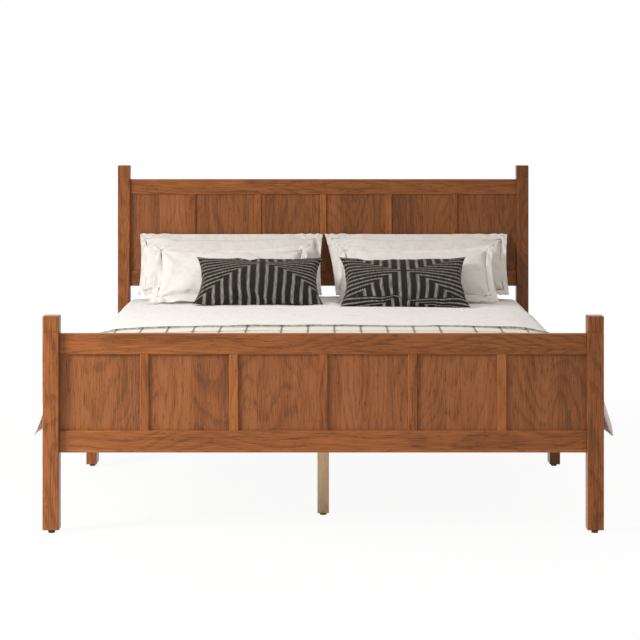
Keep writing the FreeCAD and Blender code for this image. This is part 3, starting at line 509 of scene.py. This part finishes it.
throwShape = {
    "near": -0.88,
    "far": -0.214,
    "hem": 0.060,       # short of the duvet's hem, measured along the cloth
    "thick": 0.0035,
    "cell": 0.011,
    "crowd": 0.12,      # how far the rows draw together at the two hems
    "roll": 0.0045,     # height of the rolled hem
    "rollWide": 0.006,
    "edgeBow": 0.006,
    "edgeRipple": 0.003,
    "float": 0.0012,    # least gap to the duvet, which is twice that on average
}
checks = {
    "lineGap": 0.087,
    "block": 0.637,         # seven lines, then a wider gap, over and over
    "lastLine": 0.545,
    "blockStart": 0.137,
    "rowGap": 0.115,
    "rowStart": 0.0615,
    "lineWide": 0.0048,
    "rowWide": 0.0050,
    "overcast": 0.022,
    "wander": 0.009,
    "cream": colour(232, 225, 215),
    "thinInk": colour(116, 105, 97),
    "ink": colour(34, 30, 29),
}


def checkMaterial():
    # A cream throw with thin, fuzzy charcoal lines in a window check; its UV map is in metres
    look = checks
    made, tree, shader = newMaterial("windowCheck", **{"Roughness": 0.95, "Sheen Weight": 0.35,
                                                       "Sheen Roughness": 0.5, "Specular IOR Level": 0.15})
    where = addNode(tree, "ShaderNodeUVMap", uv_map="cloth").outputs[0]
    fuzz = speckle(tree, where, 190.0, 3.0)
    part = addNode(tree, "ShaderNodeSeparateXYZ", {0: where})
    wander = calc(tree, "MULTIPLY", calc(tree, "SUBTRACT", fuzz, 0.5), look["wander"])
    across = calc(tree, "ADD", part.outputs[0], wander)
    block = calc(tree, "WRAP", calc(tree, "ADD", across, look["blockStart"]), look["block"], 0.0)
    inBlock = calc(tree, "WRAP", calc(tree, "ADD", block, look["lineGap"] / 2), look["lineGap"], 0.0)
    toLine = calc(tree, "ABSOLUTE", calc(tree, "SUBTRACT", inBlock, look["lineGap"] / 2))
    toLine = calc(tree, "ADD", toLine, calc(tree, "GREATER_THAN", block, look["lastLine"]))
    toLine = calc(tree, "MINIMUM", toLine, calc(tree, "SUBTRACT", look["block"], block))
    along = calc(tree, "ADD", part.outputs[1], wander)
    inRow = calc(tree, "WRAP", calc(tree, "ADD", along, look["rowStart"]), look["rowGap"], 0.0)
    toRow = calc(tree, "ABSOLUTE", calc(tree, "SUBTRACT", inRow, look["rowGap"] / 2))
    # the near and the far edge are overcast with the dark yarn
    middle = (throwShape["near"] + throwShape["far"]) / 2
    toEdge = calc(tree, "SUBTRACT", (throwShape["far"] - throwShape["near"]) / 2 - 0.002,
                  calc(tree, "ABSOLUTE", calc(tree, "SUBTRACT", part.outputs[1], middle)))
    line, row, edge = (fading(tree, value, 0.001, wide) for value, wide in (
        (toLine, look["lineWide"]), (toRow, look["rowWide"]), (toEdge, look["overcast"])))
    row = calc(tree, "MAXIMUM", row, calc(tree, "MULTIPLY", edge, 0.75))
    both, one = calc(tree, "MULTIPLY", line, row), calc(tree, "MAXIMUM", line, row)
    ink = calc(tree, "ADD", calc(tree, "MULTIPLY", one, 0.6), calc(tree, "MULTIPLY", both, 0.4))
    # yarn clumps where lines cross
    knots = calc(tree, "MULTIPLY", fading(tree, toLine, 0.002, 0.016),
                 fading(tree, calc(tree, "MINIMUM", toRow, toEdge), 0.002, 0.009))
    ink = calc(tree, "MAXIMUM", ink, knots)
    broken = speckle(tree, where, 75.0, 2.0)
    ink = calc(tree, "MULTIPLY", ink, calc(tree, "MULTIPLY_ADD", broken, 1.5, 0.3))
    tint = ramp(tree, ink, [(0.0, look["cream"]), (0.4, look["thinInk"]), (0.85, look["ink"])])
    tree.links.new(tint, shader.inputs["Base Color"])
    bump(tree, shader, fuzz, 0.5, 0.0012)
    return made


stripes = {
    "halfWide": 0.1815,     # out to here the lines fan open
    "firstBar": 0.0160,
    "barGap": 0.0318,
    "lineGap": 0.0096,
    "fanOpen": 0.0088,
    "droop": 0.006,
    "wander": 0.002,
    "edge": (0.08, 0.23),
}


def stripeMaterial(name, crownHigh, turnedFrom, middle):
    # black velvet with silver stripes: upright bars that each turn outward at a mitre and run down to the side.
    # The UV map is in metres from the middle of the cushion's face
    made, tree, shader = newMaterial(name, **{"Roughness": 0.7, "Sheen Weight": 0.14, "Sheen Roughness": 0.35,
                                              "Specular IOR Level": 0.12})
    look = stripes
    where = addNode(tree, "ShaderNodeUVMap", uv_map="cloth").outputs[0]
    part = addNode(tree, "ShaderNodeSeparateXYZ", {0: where})
    off = calc(tree, "MULTIPLY", calc(tree, "SUBTRACT", speckle(tree, where, 14.0, 2.0), 0.5), look["wander"])
    side = calc(tree, "ADD", calc(tree, "ABSOLUTE", calc(tree, "SUBTRACT", part.outputs[0], middle)), off)
    up = calc(tree, "ADD", part.outputs[1], off)
    outward = calc(tree, "DIVIDE", side, look["halfWide"])
    level = calc(tree, "ADD", up, calc(tree, "MULTIPLY", calc(tree, "POWER", outward, 2.2), look["droop"]))
    pitch = calc(tree, "MULTIPLY_ADD", calc(tree, "POWER", outward, 1.7), look["fanOpen"], look["lineGap"])
    bars = calc(tree, "DIVIDE", calc(tree, "SUBTRACT", side, look["firstBar"]), look["barGap"])
    lines = calc(tree, "DIVIDE", calc(tree, "SUBTRACT", crownHigh, level), pitch)
    nested = calc(tree, "MINIMUM", bars, lines)
    # above the first mitre the bars start again, cut short by the cushion's edge
    above = calc(tree, "SUBTRACT", calc(tree, "MULTIPLY", lines, -1.0), 1.0)
    topRow = calc(tree, "MINIMUM", bars, above)
    isTop = calc(tree, "GREATER_THAN", above, -0.5)
    under = calc(tree, "DIVIDE", calc(tree, "SUBTRACT", turnedFrom, level), pitch)
    isUnder = calc(tree, "GREATER_THAN", under, -0.5)
    lower = calc(tree, "MINIMUM", bars, under)
    picked = addNode(tree, "ShaderNodeMix", {0: isTop, 2: nested, 3: topRow}).outputs[0]
    picked = addNode(tree, "ShaderNodeMix", {0: isUnder, 2: picked, 3: lower}).outputs[0]
    stripe = calc(tree, "PINGPONG", picked, 0.5)
    mask = calc(tree, "MULTIPLY", fading(tree, stripe, *look["edge"]), calc(tree, "GREATER_THAN", picked, -0.22))
    ribs = addNode(tree, "ShaderNodeVectorMath", {0: where, 1: (260.0, 34.0, 1.0)}, operation="MULTIPLY").outputs[0]
    pile = speckle(tree, ribs, 1.0, 3.0)
    fine = speckle(tree, where, 900.0, 2.0)
    light = ramp(tree, pile, [(0.3, colour(84, 82, 74)), (0.7, colour(164, 161, 150))])
    dark = ramp(tree, pile, [(0.3, colour(15, 13, 11)), (0.7, colour(44, 39, 34))])
    both = addNode(tree, "ShaderNodeMix", {0: mask, 6: dark, 7: light}, data_type="RGBA").outputs[2]
    tree.links.new(both, shader.inputs["Base Color"])
    height = calc(tree, "ADD", calc(tree, "MULTIPLY", fine, 0.3), mask)
    bump(tree, shader, height, 0.5, 0.001)
    return made


# duvet and throw

duvetShape = {
    "mattressHalfWidth": 0.762,
    "mattressTop": 0.4654,
    "edge": 0.040,
    "railFace": 0.8035,
    "railTop": 0.374,
    "hem": 0.276,
    "foot": -1.006,
    "head": 0.998,
    "thick": 0.0195,
    "crown": 0.014,
    "rimThick": 0.006,
    "rimWide": 0.07,
    "foldPitch": 0.31,
    "lean": 0.005,          # the hem stands at least this far from the rail
    "foldLean": 0.009,
    "footLean": 0.010,
    "footFlare": 0.026,
    "clear": 0.0015,
    "cell": 0.0125,
}
duvetCreases = {
    "drawn": 0.010,         # how much thinner it is over the mattress edge
    "drawnAt": 0.745,
    "swell": 0.0022,
    "smallSwell": 0.0012,
    "long": 0.00884,
    "crumple": 0.0075,
    "pillowFold": 0.505,    # where it tucks in under the pillows
    "pillowFoldBow": 0.16,
    "tuck": 0.010,
    "dip": 0.011,
    "hang": 0.0055,
}


def smoothStep(low, high, value):
    t = min(1.0, max(0.0, (value - low) / (high - low)))
    return t * t * (3 - 2 * t)


def foldLean(y, side):
    # how far the hem leans out from the side rail at y
    size = duvetShape
    wave = 0.5 + 0.5 * math.sin(2 * math.pi * y / size["foldPitch"] + 0.8 * noise.noise((y * 1.7, side * 5.0, 2.0)))
    nearFoot = max(0.0, 1 - (y - size["foot"]) / size["foldPitch"])
    return size["lean"] + size["foldLean"] * wave + size["footLean"] * nearFoot


def halfSection(y, side):
    # the duvet's underside, from the middle of the bed down to the hem: place, the way out, share of the crown
    size = duvetShape
    edge, wide = size["edge"], size["mattressHalfWidth"]
    low = size["mattressTop"] + 0.001
    touch = size["railFace"] + size["clear"]
    lean = foldLean(y, side) + size["footFlare"] * smoothStep(-0.80, -0.98, y)
    hem = size["hem"] + 0.004 * noise.noise((y * 2.3, side * 3.0, 9.0))
    return [
        (0.0, low, 0.0, 1.0, 1.0),
        (0.3 * wide, low, 0.0, 1.0, 0.97),
        (0.6 * wide, low, 0.0, 1.0, 0.85),
        (0.82 * wide, low, 0.05, 1.0, 0.5),
        (wide - 0.8 * edge, low, 0.1, 1.0, 0.2),
        (wide - 0.1 * edge, low - 0.15 * edge, 0.55, 0.85, 0.0),
        (wide + 0.5 * edge, low - edge, 0.9, 0.45, 0.0),
        (touch + 0.1 * lean, size["railTop"], 0.98, 0.2, 0.0),
        (touch + 0.5 * lean, (size["railTop"] + hem) / 2, 1.0, 0.03, 0.0),
        (touch + lean, hem, 1.0, 0.0, 0.0),
    ]


def sampleSection(y, side, count=64):
    # the same section as even steps of cloth length
    points = halfSection(y, side)
    dense = []
    for index in range(len(points) - 1):
        before = points[max(index - 1, 0)]
        a, b = points[index], points[index + 1]
        after = points[min(index + 2, len(points) - 1)]
        if index == 0:
            before = (-b[0], b[1], -b[2], b[3], b[4])
        for step in range(8):
            t = step / 8
            dense.append([0.5 * (2 * q + (r - p) * t + (2 * p - 5 * q + 4 * r - s) * t * t
                                 + (3 * q - p - 3 * r + s) * t ** 3)
                          for p, q, r, s in zip(before, a, b, after)])
    dense.append(list(points[-1]))
    lengths = [0.0]
    for a, b in zip(dense, dense[1:]):
        lengths.append(lengths[-1] + math.hypot(b[0] - a[0], b[1] - a[1]))
    even, at = [], 0
    for index in range(count + 1):
        want = lengths[-1] * index / count
        while at < len(lengths) - 2 and lengths[at + 1] < want:
            at += 1
        share = (want - lengths[at]) / (lengths[at + 1] - lengths[at])
        even.append([p + (q - p) * share for p, q in zip(dense[at], dense[at + 1])])
    return even, lengths[-1]


sectionStore = {}


def sectionAt(y, side):
    key = (round(y, 5), side)
    if key not in sectionStore:
        sectionStore[key] = sampleSection(y, side)
    return sectionStore[key]


def onDuvet(s, y):
    # underside place, way out and share of the crown at cloth length s from the middle
    side = -1 if s < 0 else 1
    rows, length = sectionAt(y, side)
    place = min(abs(s) / length, 1.0) * (len(rows) - 1)
    index = min(int(place), len(rows) - 2)
    share = place - index
    x, z, outX, outZ, crown = [p + (q - p) * share for p, q in zip(rows[index], rows[index + 1])]
    out = Vector((side * outX, 0, outZ)).normalized()
    return Vector((side * x, y, z)), out, crown, length


def ridged(x, y, z):
    return 1 - abs(noise.noise((x, y, z))) * 2


def loft(s, y):
    # the duvet's thickness: full in the middle, pinched at its sewn edges, and creased
    size, fold = duvetShape, duvetCreases
    under, out, crown, length = onDuvet(s, y)
    rim = min(length - abs(s), y - size["foot"], size["head"] - y)
    # it thins where it is drawn over the mattress edge
    drawn = fold["drawn"] * math.exp(-((abs(s) - fold["drawnAt"]) / 0.055) ** 2)
    full = size["thick"] + size["crown"] * crown - drawn
    puff = 1 - (1 - min(1.0, max(0.0, rim / size["rimWide"]))) ** 2.2
    thick = size["rimThick"] + (full - size["rimThick"]) * puff
    flatTop = smoothStep(0.75, 0.65, abs(s))
    swell = fold["swell"] * noise.noise((s * 2.6, y * 2.6, 4.0)) + fold["smallSwell"] * noise.noise((s * 7, y * 6, 1.0))
    # long soft creases that run out to the sides, shorter ones by the pillows
    wander = 0.6 * noise.noise((s * 2, y * 3, 0))
    crease = fold["long"] * max(0.0, ridged(s * 1.4 + wander, y * 6.5, 7.0) - 0.72)
    crumple = fold["crumple"] * max(0.0, ridged(s * 6.5, y * 9.0, 3.0) - 0.55) * smoothStep(0.42, 0.62, y)
    foldLine = fold["pillowFold"] + fold["pillowFoldBow"] * (1 - min(1.0, abs(s) / 0.69) ** 2)
    beyond = smoothStep(foldLine, foldLine + 0.04, y)
    tuck = fold["tuck"] * math.exp(-((y - foldLine) / 0.011) ** 2) + fold["dip"] * beyond
    # the right lumbar cushion presses a dent before that
    dent = smoothStep(0.44, 0.53, y) * smoothStep(0.02, 0.09, s) * smoothStep(0.62, 0.54, s)
    tuck += fold["dip"] * dent * (1 - beyond)
    hang = smoothStep(0.70, 0.95, abs(s))
    drop = fold["hang"] * hang * noise.noise((y * 5.2, (0.4 if s < 0 else 9.0), 0.3 * abs(s)))
    thick += ((swell + crumple - tuck) * (0.4 + 0.6 * flatTop) - crease + drop) * puff
    return under, out, max(size["rimThick"] * 0.8, thick)


def makeDuvet():
    size = duvetShape
    _, length = sectionAt(0.0, 1)
    across = 2 * round(length / size["cell"])
    along = round((size["head"] - size["foot"]) / size["cell"])
    mesh = bmesh.new()
    skins = []
    for outer in (True, False):
        grid = bmesh.ops.create_grid(mesh, x_segments=across, y_segments=along, size=0.5)
        for vert in grid["verts"]:
            y = size["foot"] + (vert.co.y + 0.5) * (size["head"] - size["foot"])
            _, long = sectionAt(y, -1 if vert.co.x < 0 else 1)
            under, out, thick = loft(vert.co.x * 2 * long, y)
            vert.co = under + out * (thick if outer else 0.0)
        skins.append(grid["verts"])
    inner = set(skins[1])
    bmesh.ops.reverse_faces(mesh, faces=[face for face in mesh.faces if face.verts[0] in inner])
    bmesh.ops.bridge_loops(mesh, edges=[edge for edge in mesh.edges if edge.is_boundary])
    piece = newPiece("duvetCover", mesh, smooth=True)
    paint(piece, cottonMaterial("duvetCotton", duvetCotton))
    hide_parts("duvet")
    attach(piece, "mattress")


def makeThrow():
    size = throwShape
    _, length = sectionAt(0.0, 1)
    half = length - size["hem"]
    across = 2 * round(half / size["cell"])
    along = round((size["far"] - size["near"]) / size["cell"])
    mesh = bmesh.new()
    grid = bmesh.ops.create_grid(mesh, x_segments=across, y_segments=along, size=0.5)
    cloth = mesh.loops.layers.uv.new("cloth")
    flatPlace = {}
    for vert in grid["verts"]:
        s = vert.co.x * 2 * half
        # rows lie closer together at the two hems
        along01 = vert.co.y + 0.5
        along01 -= size["crowd"] * math.sin(2 * math.pi * along01)
        edge = size["edgeBow"] * noise.noise((s * 3.0, 1.0, 5.0))
        edge += size["edgeRipple"] * noise.noise((s * 9.0, 4.0, 5.0))
        y = size["near"] + along01 * (size["far"] - size["near"]) + edge * abs(vert.co.y) * 2
        fromHem = min(along01, 1 - along01) * (size["far"] - size["near"])
        roll = size["roll"] * math.exp(-((fromHem - 0.005) / size["rollWide"]) ** 2)
        roll *= 1 + 0.5 * noise.noise((s * 14, y * 3, 8.0))
        under, out, thick = loft(s, y)
        lift = roll + size["float"] + size["thick"] / 2 + size["float"] * (1 + noise.noise((s * 8, y * 8, 3.0)))
        flatPlace[vert] = (s, y)
        vert.co = under + out * (thick + lift)
    for face in mesh.faces:
        for corner in face.loops:
            corner[cloth].uv = flatPlace[corner.vert]
    piece = newPiece("throwCloth", mesh, smooth=True)
    solid = piece.modifiers.new("thickness", "SOLIDIFY")
    solid.thickness = size["thick"]
    solid.offset = 0
    paint(piece, checkMaterial())
    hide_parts("throw_blanket")
    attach(piece, "mattress")


# mattress

mattressShape = {"corner": 0.06, "edge": 0.034, "quilt": 14.0, "quiltDeep": 0.006}


def makeMattress():
    low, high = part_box("mattress")
    mesh = bmesh.new()
    bmesh.ops.create_cube(mesh, size=1)
    bmesh.ops.scale(mesh, vec=high - low, verts=mesh.verts)
    bmesh.ops.translate(mesh, vec=(low + high) / 2, verts=mesh.verts)
    upright = [edge for edge in mesh.edges if abs(edge.verts[0].co.z - edge.verts[1].co.z) > 0.1]
    bmesh.ops.bevel(mesh, geom=upright, offset=mattressShape["corner"], segments=8, profile=0.5, affect="EDGES",
                    material=-1)
    level = [edge for edge in mesh.edges if abs(edge.verts[0].co.z - edge.verts[1].co.z) < 0.001]
    bmesh.ops.bevel(mesh, geom=level, offset=mattressShape["edge"], segments=6, profile=0.5, affect="EDGES",
                    material=-1)
    piece = newPiece("mattressCover", mesh, smooth=True)
    made, tree, shader = newMaterial("mattressKnit", **{"Roughness": 0.9, "Sheen Weight": 0.2})
    where = addNode(tree, "ShaderNodeTexCoord").outputs["Object"]
    weave = addGroup(tree, clothWeave, vector=where, thread=0.003, creaseSize=0.07)
    quilt = addNode(tree, "ShaderNodeTexVoronoi", {"Vector": where, "Scale": mattressShape["quilt"]},
                    feature="SMOOTH_F1")
    tree.links.new(ramp(tree, weave["Slubs"], [(0.3, colour(226, 223, 217)), (0.7, colour(238, 236, 231))]),
                   shader.inputs["Base Color"])
    height = calc(tree, "ADD", quilt.outputs["Distance"], calc(tree, "MULTIPLY", weave["Threads"], 0.02))
    bump(tree, shader, height, 0.5, mattressShape["quiltDeep"])
    paint(piece, made)
    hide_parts("mattress")
    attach(piece, "mattress")


makeMattress()
makeDuvet()
makeThrow()
print("mattress, duvet and throw made")


# pillows and cushions

pillowKinds = {
    "back_pillow": {"wide": 0.730, "high": 0.292, "thick": 0.095, "flange": 0.034, "lean": 38.5, "cell": 0.0085,
                    "puff": 4.0, "topSag": 0.001, "sideBow": 0.008, "edgeWave": 0.15, "taper": 1.2,
                    "ear": 0.0, "sink": (0.0, 0.0), "ripple": 0.004, "innerLean": (0.004, 0.045), "outerLean": 0.010,
                    "outward": (0.0055, 0.0095)},
    "front_pillow": {"wide": 0.602, "high": 0.272, "thick": 0.088, "flange": 0.034, "lean": 45.5, "cell": 0.0085,
                     "puff": 4.0, "topSag": 0.020, "sideBow": 0.010, "edgeWave": 0.5, "taper": 1.0,
                     "ear": 0.008, "sink": (0.016, 0.016), "ripple": 0.004, "innerLean": (0.0, 0.0), "outerLean": 0.0,
                     "outward": (0.0, 0.004)},
    "lumbar_cushion": {"wide": 0.480, "high": 0.285, "thick": 0.096, "flange": 0.0, "lean": 57.0, "cell": 0.0085,
                       "puff": 4.0, "topSag": 0.026, "sideBow": 0.024, "edgeWave": 0.3, "taper": 0.4,
                       "ear": 0.006, "sink": (0.0, 0.018), "ripple": 0.0008, "innerLean": (0.0, 0.0), "outerLean": 0.0,
                       "outward": (0.005, -0.002)},
}
clothMotion = {"frames": 26, "quality": 5, "tension": 14.0, "bending": 0.06, "mass": 0.15, "airDrag": 3}
pillowFit = {
    "smoothing": 7,
    "smoothingAllWays": 3,      # the first passes, the others only even out the thickness
    "topThinner": 0.12,
    "tautRim": 0.03,
    "seamThick": 0.004,
    "layerGap": 0.0015,         # between the two layers as they are sewn
    "fillGap": 0.005,           # and what is added inside the seam
}


def sewnPillow(name, kind, seed):
    # two layers of cloth joined round the edge, and again inside the flange if there is one
    cell = kind["cell"] * 1
    flangeCells = round(kind["flange"] / cell)
    step = kind["flange"] / flangeCells if flangeCells else cell
    columns, rows = round(kind["wide"] / step), round(kind["high"] / step)
    mesh = bmesh.new()
    cloth = mesh.loops.layers.uv.new("cloth")
    for side in (-1, 1):
        turn = Matrix.Rotation(math.radians(90), 4, "X")
        grid = bmesh.ops.create_grid(mesh, x_segments=columns, y_segments=rows, size=0.5, matrix=turn)
        if side == 1:
            faces = {face for vert in grid["verts"] for face in vert.link_faces}
            bmesh.ops.reverse_faces(mesh, faces=list(faces))
        for vert in grid["verts"]:
            column, row = round((vert.co.x + 0.5) * columns), round((vert.co.z + 0.5) * rows)
            fromEdge = min(column, row, columns - column, rows - row)
            x, z = vert.co.x * kind["wide"], vert.co.z * kind["high"]
            gap = 0.0 if fromEdge in (0, flangeCells) else pillowFit["layerGap"]
            if fromEdge > flangeCells:
                gap += pillowFit["fillGap"] * min(1.0, (fromEdge - flangeCells) / 6)
            ripple = kind["ripple"] * noise.noise((x * 14, z * 14, seed))
            vert.co = (x, side * gap + ripple, z)
    for face in mesh.faces:
        for corner in face.loops:
            corner[cloth].uv = (corner.vert.co.x, corner.vert.co.z)
    bmesh.ops.remove_doubles(mesh, verts=mesh.verts, dist=0.0005)
    piece = newPiece(name, mesh, smooth=True)
    inside = piece.vertex_groups.new(name="inside")
    reach = (kind["wide"] / 2 - kind["flange"] - step / 2, kind["high"] / 2 - kind["flange"] - step / 2)
    inside.add([vert.index for vert in piece.data.vertices
                if abs(vert.co.x) < reach[0] and abs(vert.co.z) < reach[1]], 1.0, "REPLACE")
    return piece


def inflate(piece, kind):
    # blow the sewn layers up and keep the shape that the cloth takes
    cloth = piece.modifiers.new("cloth", "CLOTH")
    rules = cloth.settings
    rules.quality = clothMotion["quality"]
    rules.mass = clothMotion["mass"]
    rules.tension_stiffness = rules.compression_stiffness = clothMotion["tension"]
    rules.shear_stiffness = clothMotion["tension"] / 2
    rules.bending_stiffness = clothMotion["bending"]
    rules.air_damping = clothMotion["airDrag"]
    rules.use_pressure = True
    rules.uniform_pressure_force = kind["puff"]
    rules.vertex_group_pressure = "inside"
    rules.effector_weights.gravity = 0
    cloth.collision_settings.use_collision = False
    cloth.point_cache.frame_end = clothMotion["frames"]
    for step in range(1, clothMotion["frames"] + 1):
        scene.frame_set(step)
    shaped = bpy.data.meshes.new_from_object(piece.evaluated_get(bpy.context.evaluated_depsgraph_get()))
    piece.modifiers.clear()
    piece.data = shaped
    scene.frame_set(1)


def drawTo(flat, verts, kind, right):
    # bring the pillow's drawn-in outline to the one that it has on the bed
    halfX, halfZ = kind["wide"] / 2, kind["high"] / 2
    ends = {}
    for (x, z), vert in zip(flat, verts):
        if abs(abs(z) - halfZ) < 1e-4:
            ends[("z", round(x, 4), z > 0)] = vert.co.z
        if abs(abs(x) - halfX) < 1e-4:
            ends[("x", round(z, 4), x > 0)] = vert.co.x
    for (x, z), vert in zip(flat, verts):
        wantZ = halfZ + kind["ear"] - (kind["topSag"] + kind["ear"]) * (1 - (x / halfX) ** 2)
        if z < 0:
            wantZ = halfZ + kind["sink"][right] - 0.004 * (1 - (x / halfX) ** 2)
        wantX = halfX + kind["ear"] - (kind["sideBow"] + kind["ear"]) * (1 - (z / halfZ) ** 2)
        vert.co.z *= wantZ / abs(ends[("z", round(x, 4), z > 0)])
        vert.co.x *= wantX / abs(ends[("x", round(z, 4), x > 0)])


def pucker(x, z, kind, y):
    # wrinkles that fan out from each sewn corner
    inX, inZ = kind["wide"] / 2 - kind["flange"], kind["high"] / 2 - kind["flange"]
    awayX, awayZ = inX - abs(x), inZ - abs(z)
    reach = math.hypot(awayX, awayZ)
    turn = math.atan2(awayZ, awayX)
    corner = (x > 0) * 2.0 + (z > 0) * 5.0
    wave = math.sin(8 * turn + corner + 2.5 * noise.noise((x * 12, z * 12, corner)))
    depth = kind["ripple"] * 1.5 * math.exp(-(reach / 0.09) ** 2) * min(1.0, reach / 0.012)
    return depth * wave * (1 if y > 0 else -1)


def settle(piece, kind, node, flat):
    # fit the pillow to its size, let it slump, and lean it where it stands
    soft = bmesh.new()
    soft.from_mesh(piece.data)
    for step in range(pillowFit["smoothing"]):
        allWays = step < pillowFit["smoothingAllWays"]
        bmesh.ops.smooth_vert(soft, verts=soft.verts, factor=0.5, use_axis_x=allWays, use_axis_y=True,
                              use_axis_z=allWays)
    soft.to_mesh(piece.data)
    soft.free()
    verts = piece.data.vertices
    right = node.endswith("right")
    drawTo(flat, verts, kind, right)
    low, high = min(vert.co.y for vert in verts), max(vert.co.y for vert in verts)
    print(" ", node, "came out", round(high - low, 3), "thick")
    middle, stretch = (low + high) / 2, kind["thick"] / (high - low)
    low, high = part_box(node)
    place = Matrix.Translation((low + high) / 2) @ Matrix.Rotation(-math.radians(kind["lean"]), 4, "X")
    for (x0, z0), vert in zip(flat, verts):
        x, y, z = vert.co
        y = (y - middle) * stretch * (1.0 - pillowFit["topThinner"] * z / kind["high"])
        # a taut edge waves less, and the top tapers like a wedge
        rim = min(kind["wide"] / 2 - abs(x0), kind["high"] / 2 - abs(z0))
        y *= kind["edgeWave"] + (1 - kind["edgeWave"]) * smoothStep(0.0, pillowFit["tautRim"], rim)
        most = pillowFit["seamThick"] + kind["taper"] * max(0.0, kind["high"] / 2 - z)
        y = math.copysign(1 / (1 / max(abs(y), 1e-5) ** 4 + 1 / most ** 4) ** 0.25, y)
        y += pucker(x0, z0, kind, y)
        # the inner edge slopes away from the middle of the bed towards its foot
        side = 1 if right else -1
        inner, lowness = 0.5 - side * x0 / kind["wide"], 0.5 - z0 / kind["high"]
        x += side * (kind["innerLean"][right] * inner * lowness - kind["outerLean"] * (1 - inner) * lowness
                     + kind["outward"][right])
        vert.co = place @ Vector((x, y, z))


def makePillows():
    white = cottonMaterial("pillowCotton", pillowCotton)
    velvet = {"left": stripeMaterial("stripedVelvetLeft", 0.040, -0.4, 0.013),
              "right": stripeMaterial("stripedVelvetRight", 0.002, -0.094, 0.0)}
    seed = 1.0
    for kindName, kind in pillowKinds.items():
        for side in ("left", "right"):
            seed += 5.0
            node = f"{kindName}_{side}"
            piece = sewnPillow(node.replace("_", " ").title().replace(" ", ""), kind, seed)
            flat = [(vert.co.x, vert.co.z) for vert in piece.data.vertices]
            inflate(piece, kind)
            settle(piece, kind, node, flat)
            for face in piece.data.polygons:
                face.use_smooth = True
            if kindName == "lumbar_cushion":
                paint(piece, velvet[side])
            else:
                paint(piece, white)
            finish = piece.modifiers.new("smooth", "SUBSURF")
            finish.levels = finish.render_levels = 1
            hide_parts(node)
            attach(piece, node)
    print("pillows and cushions made")


makePillows()
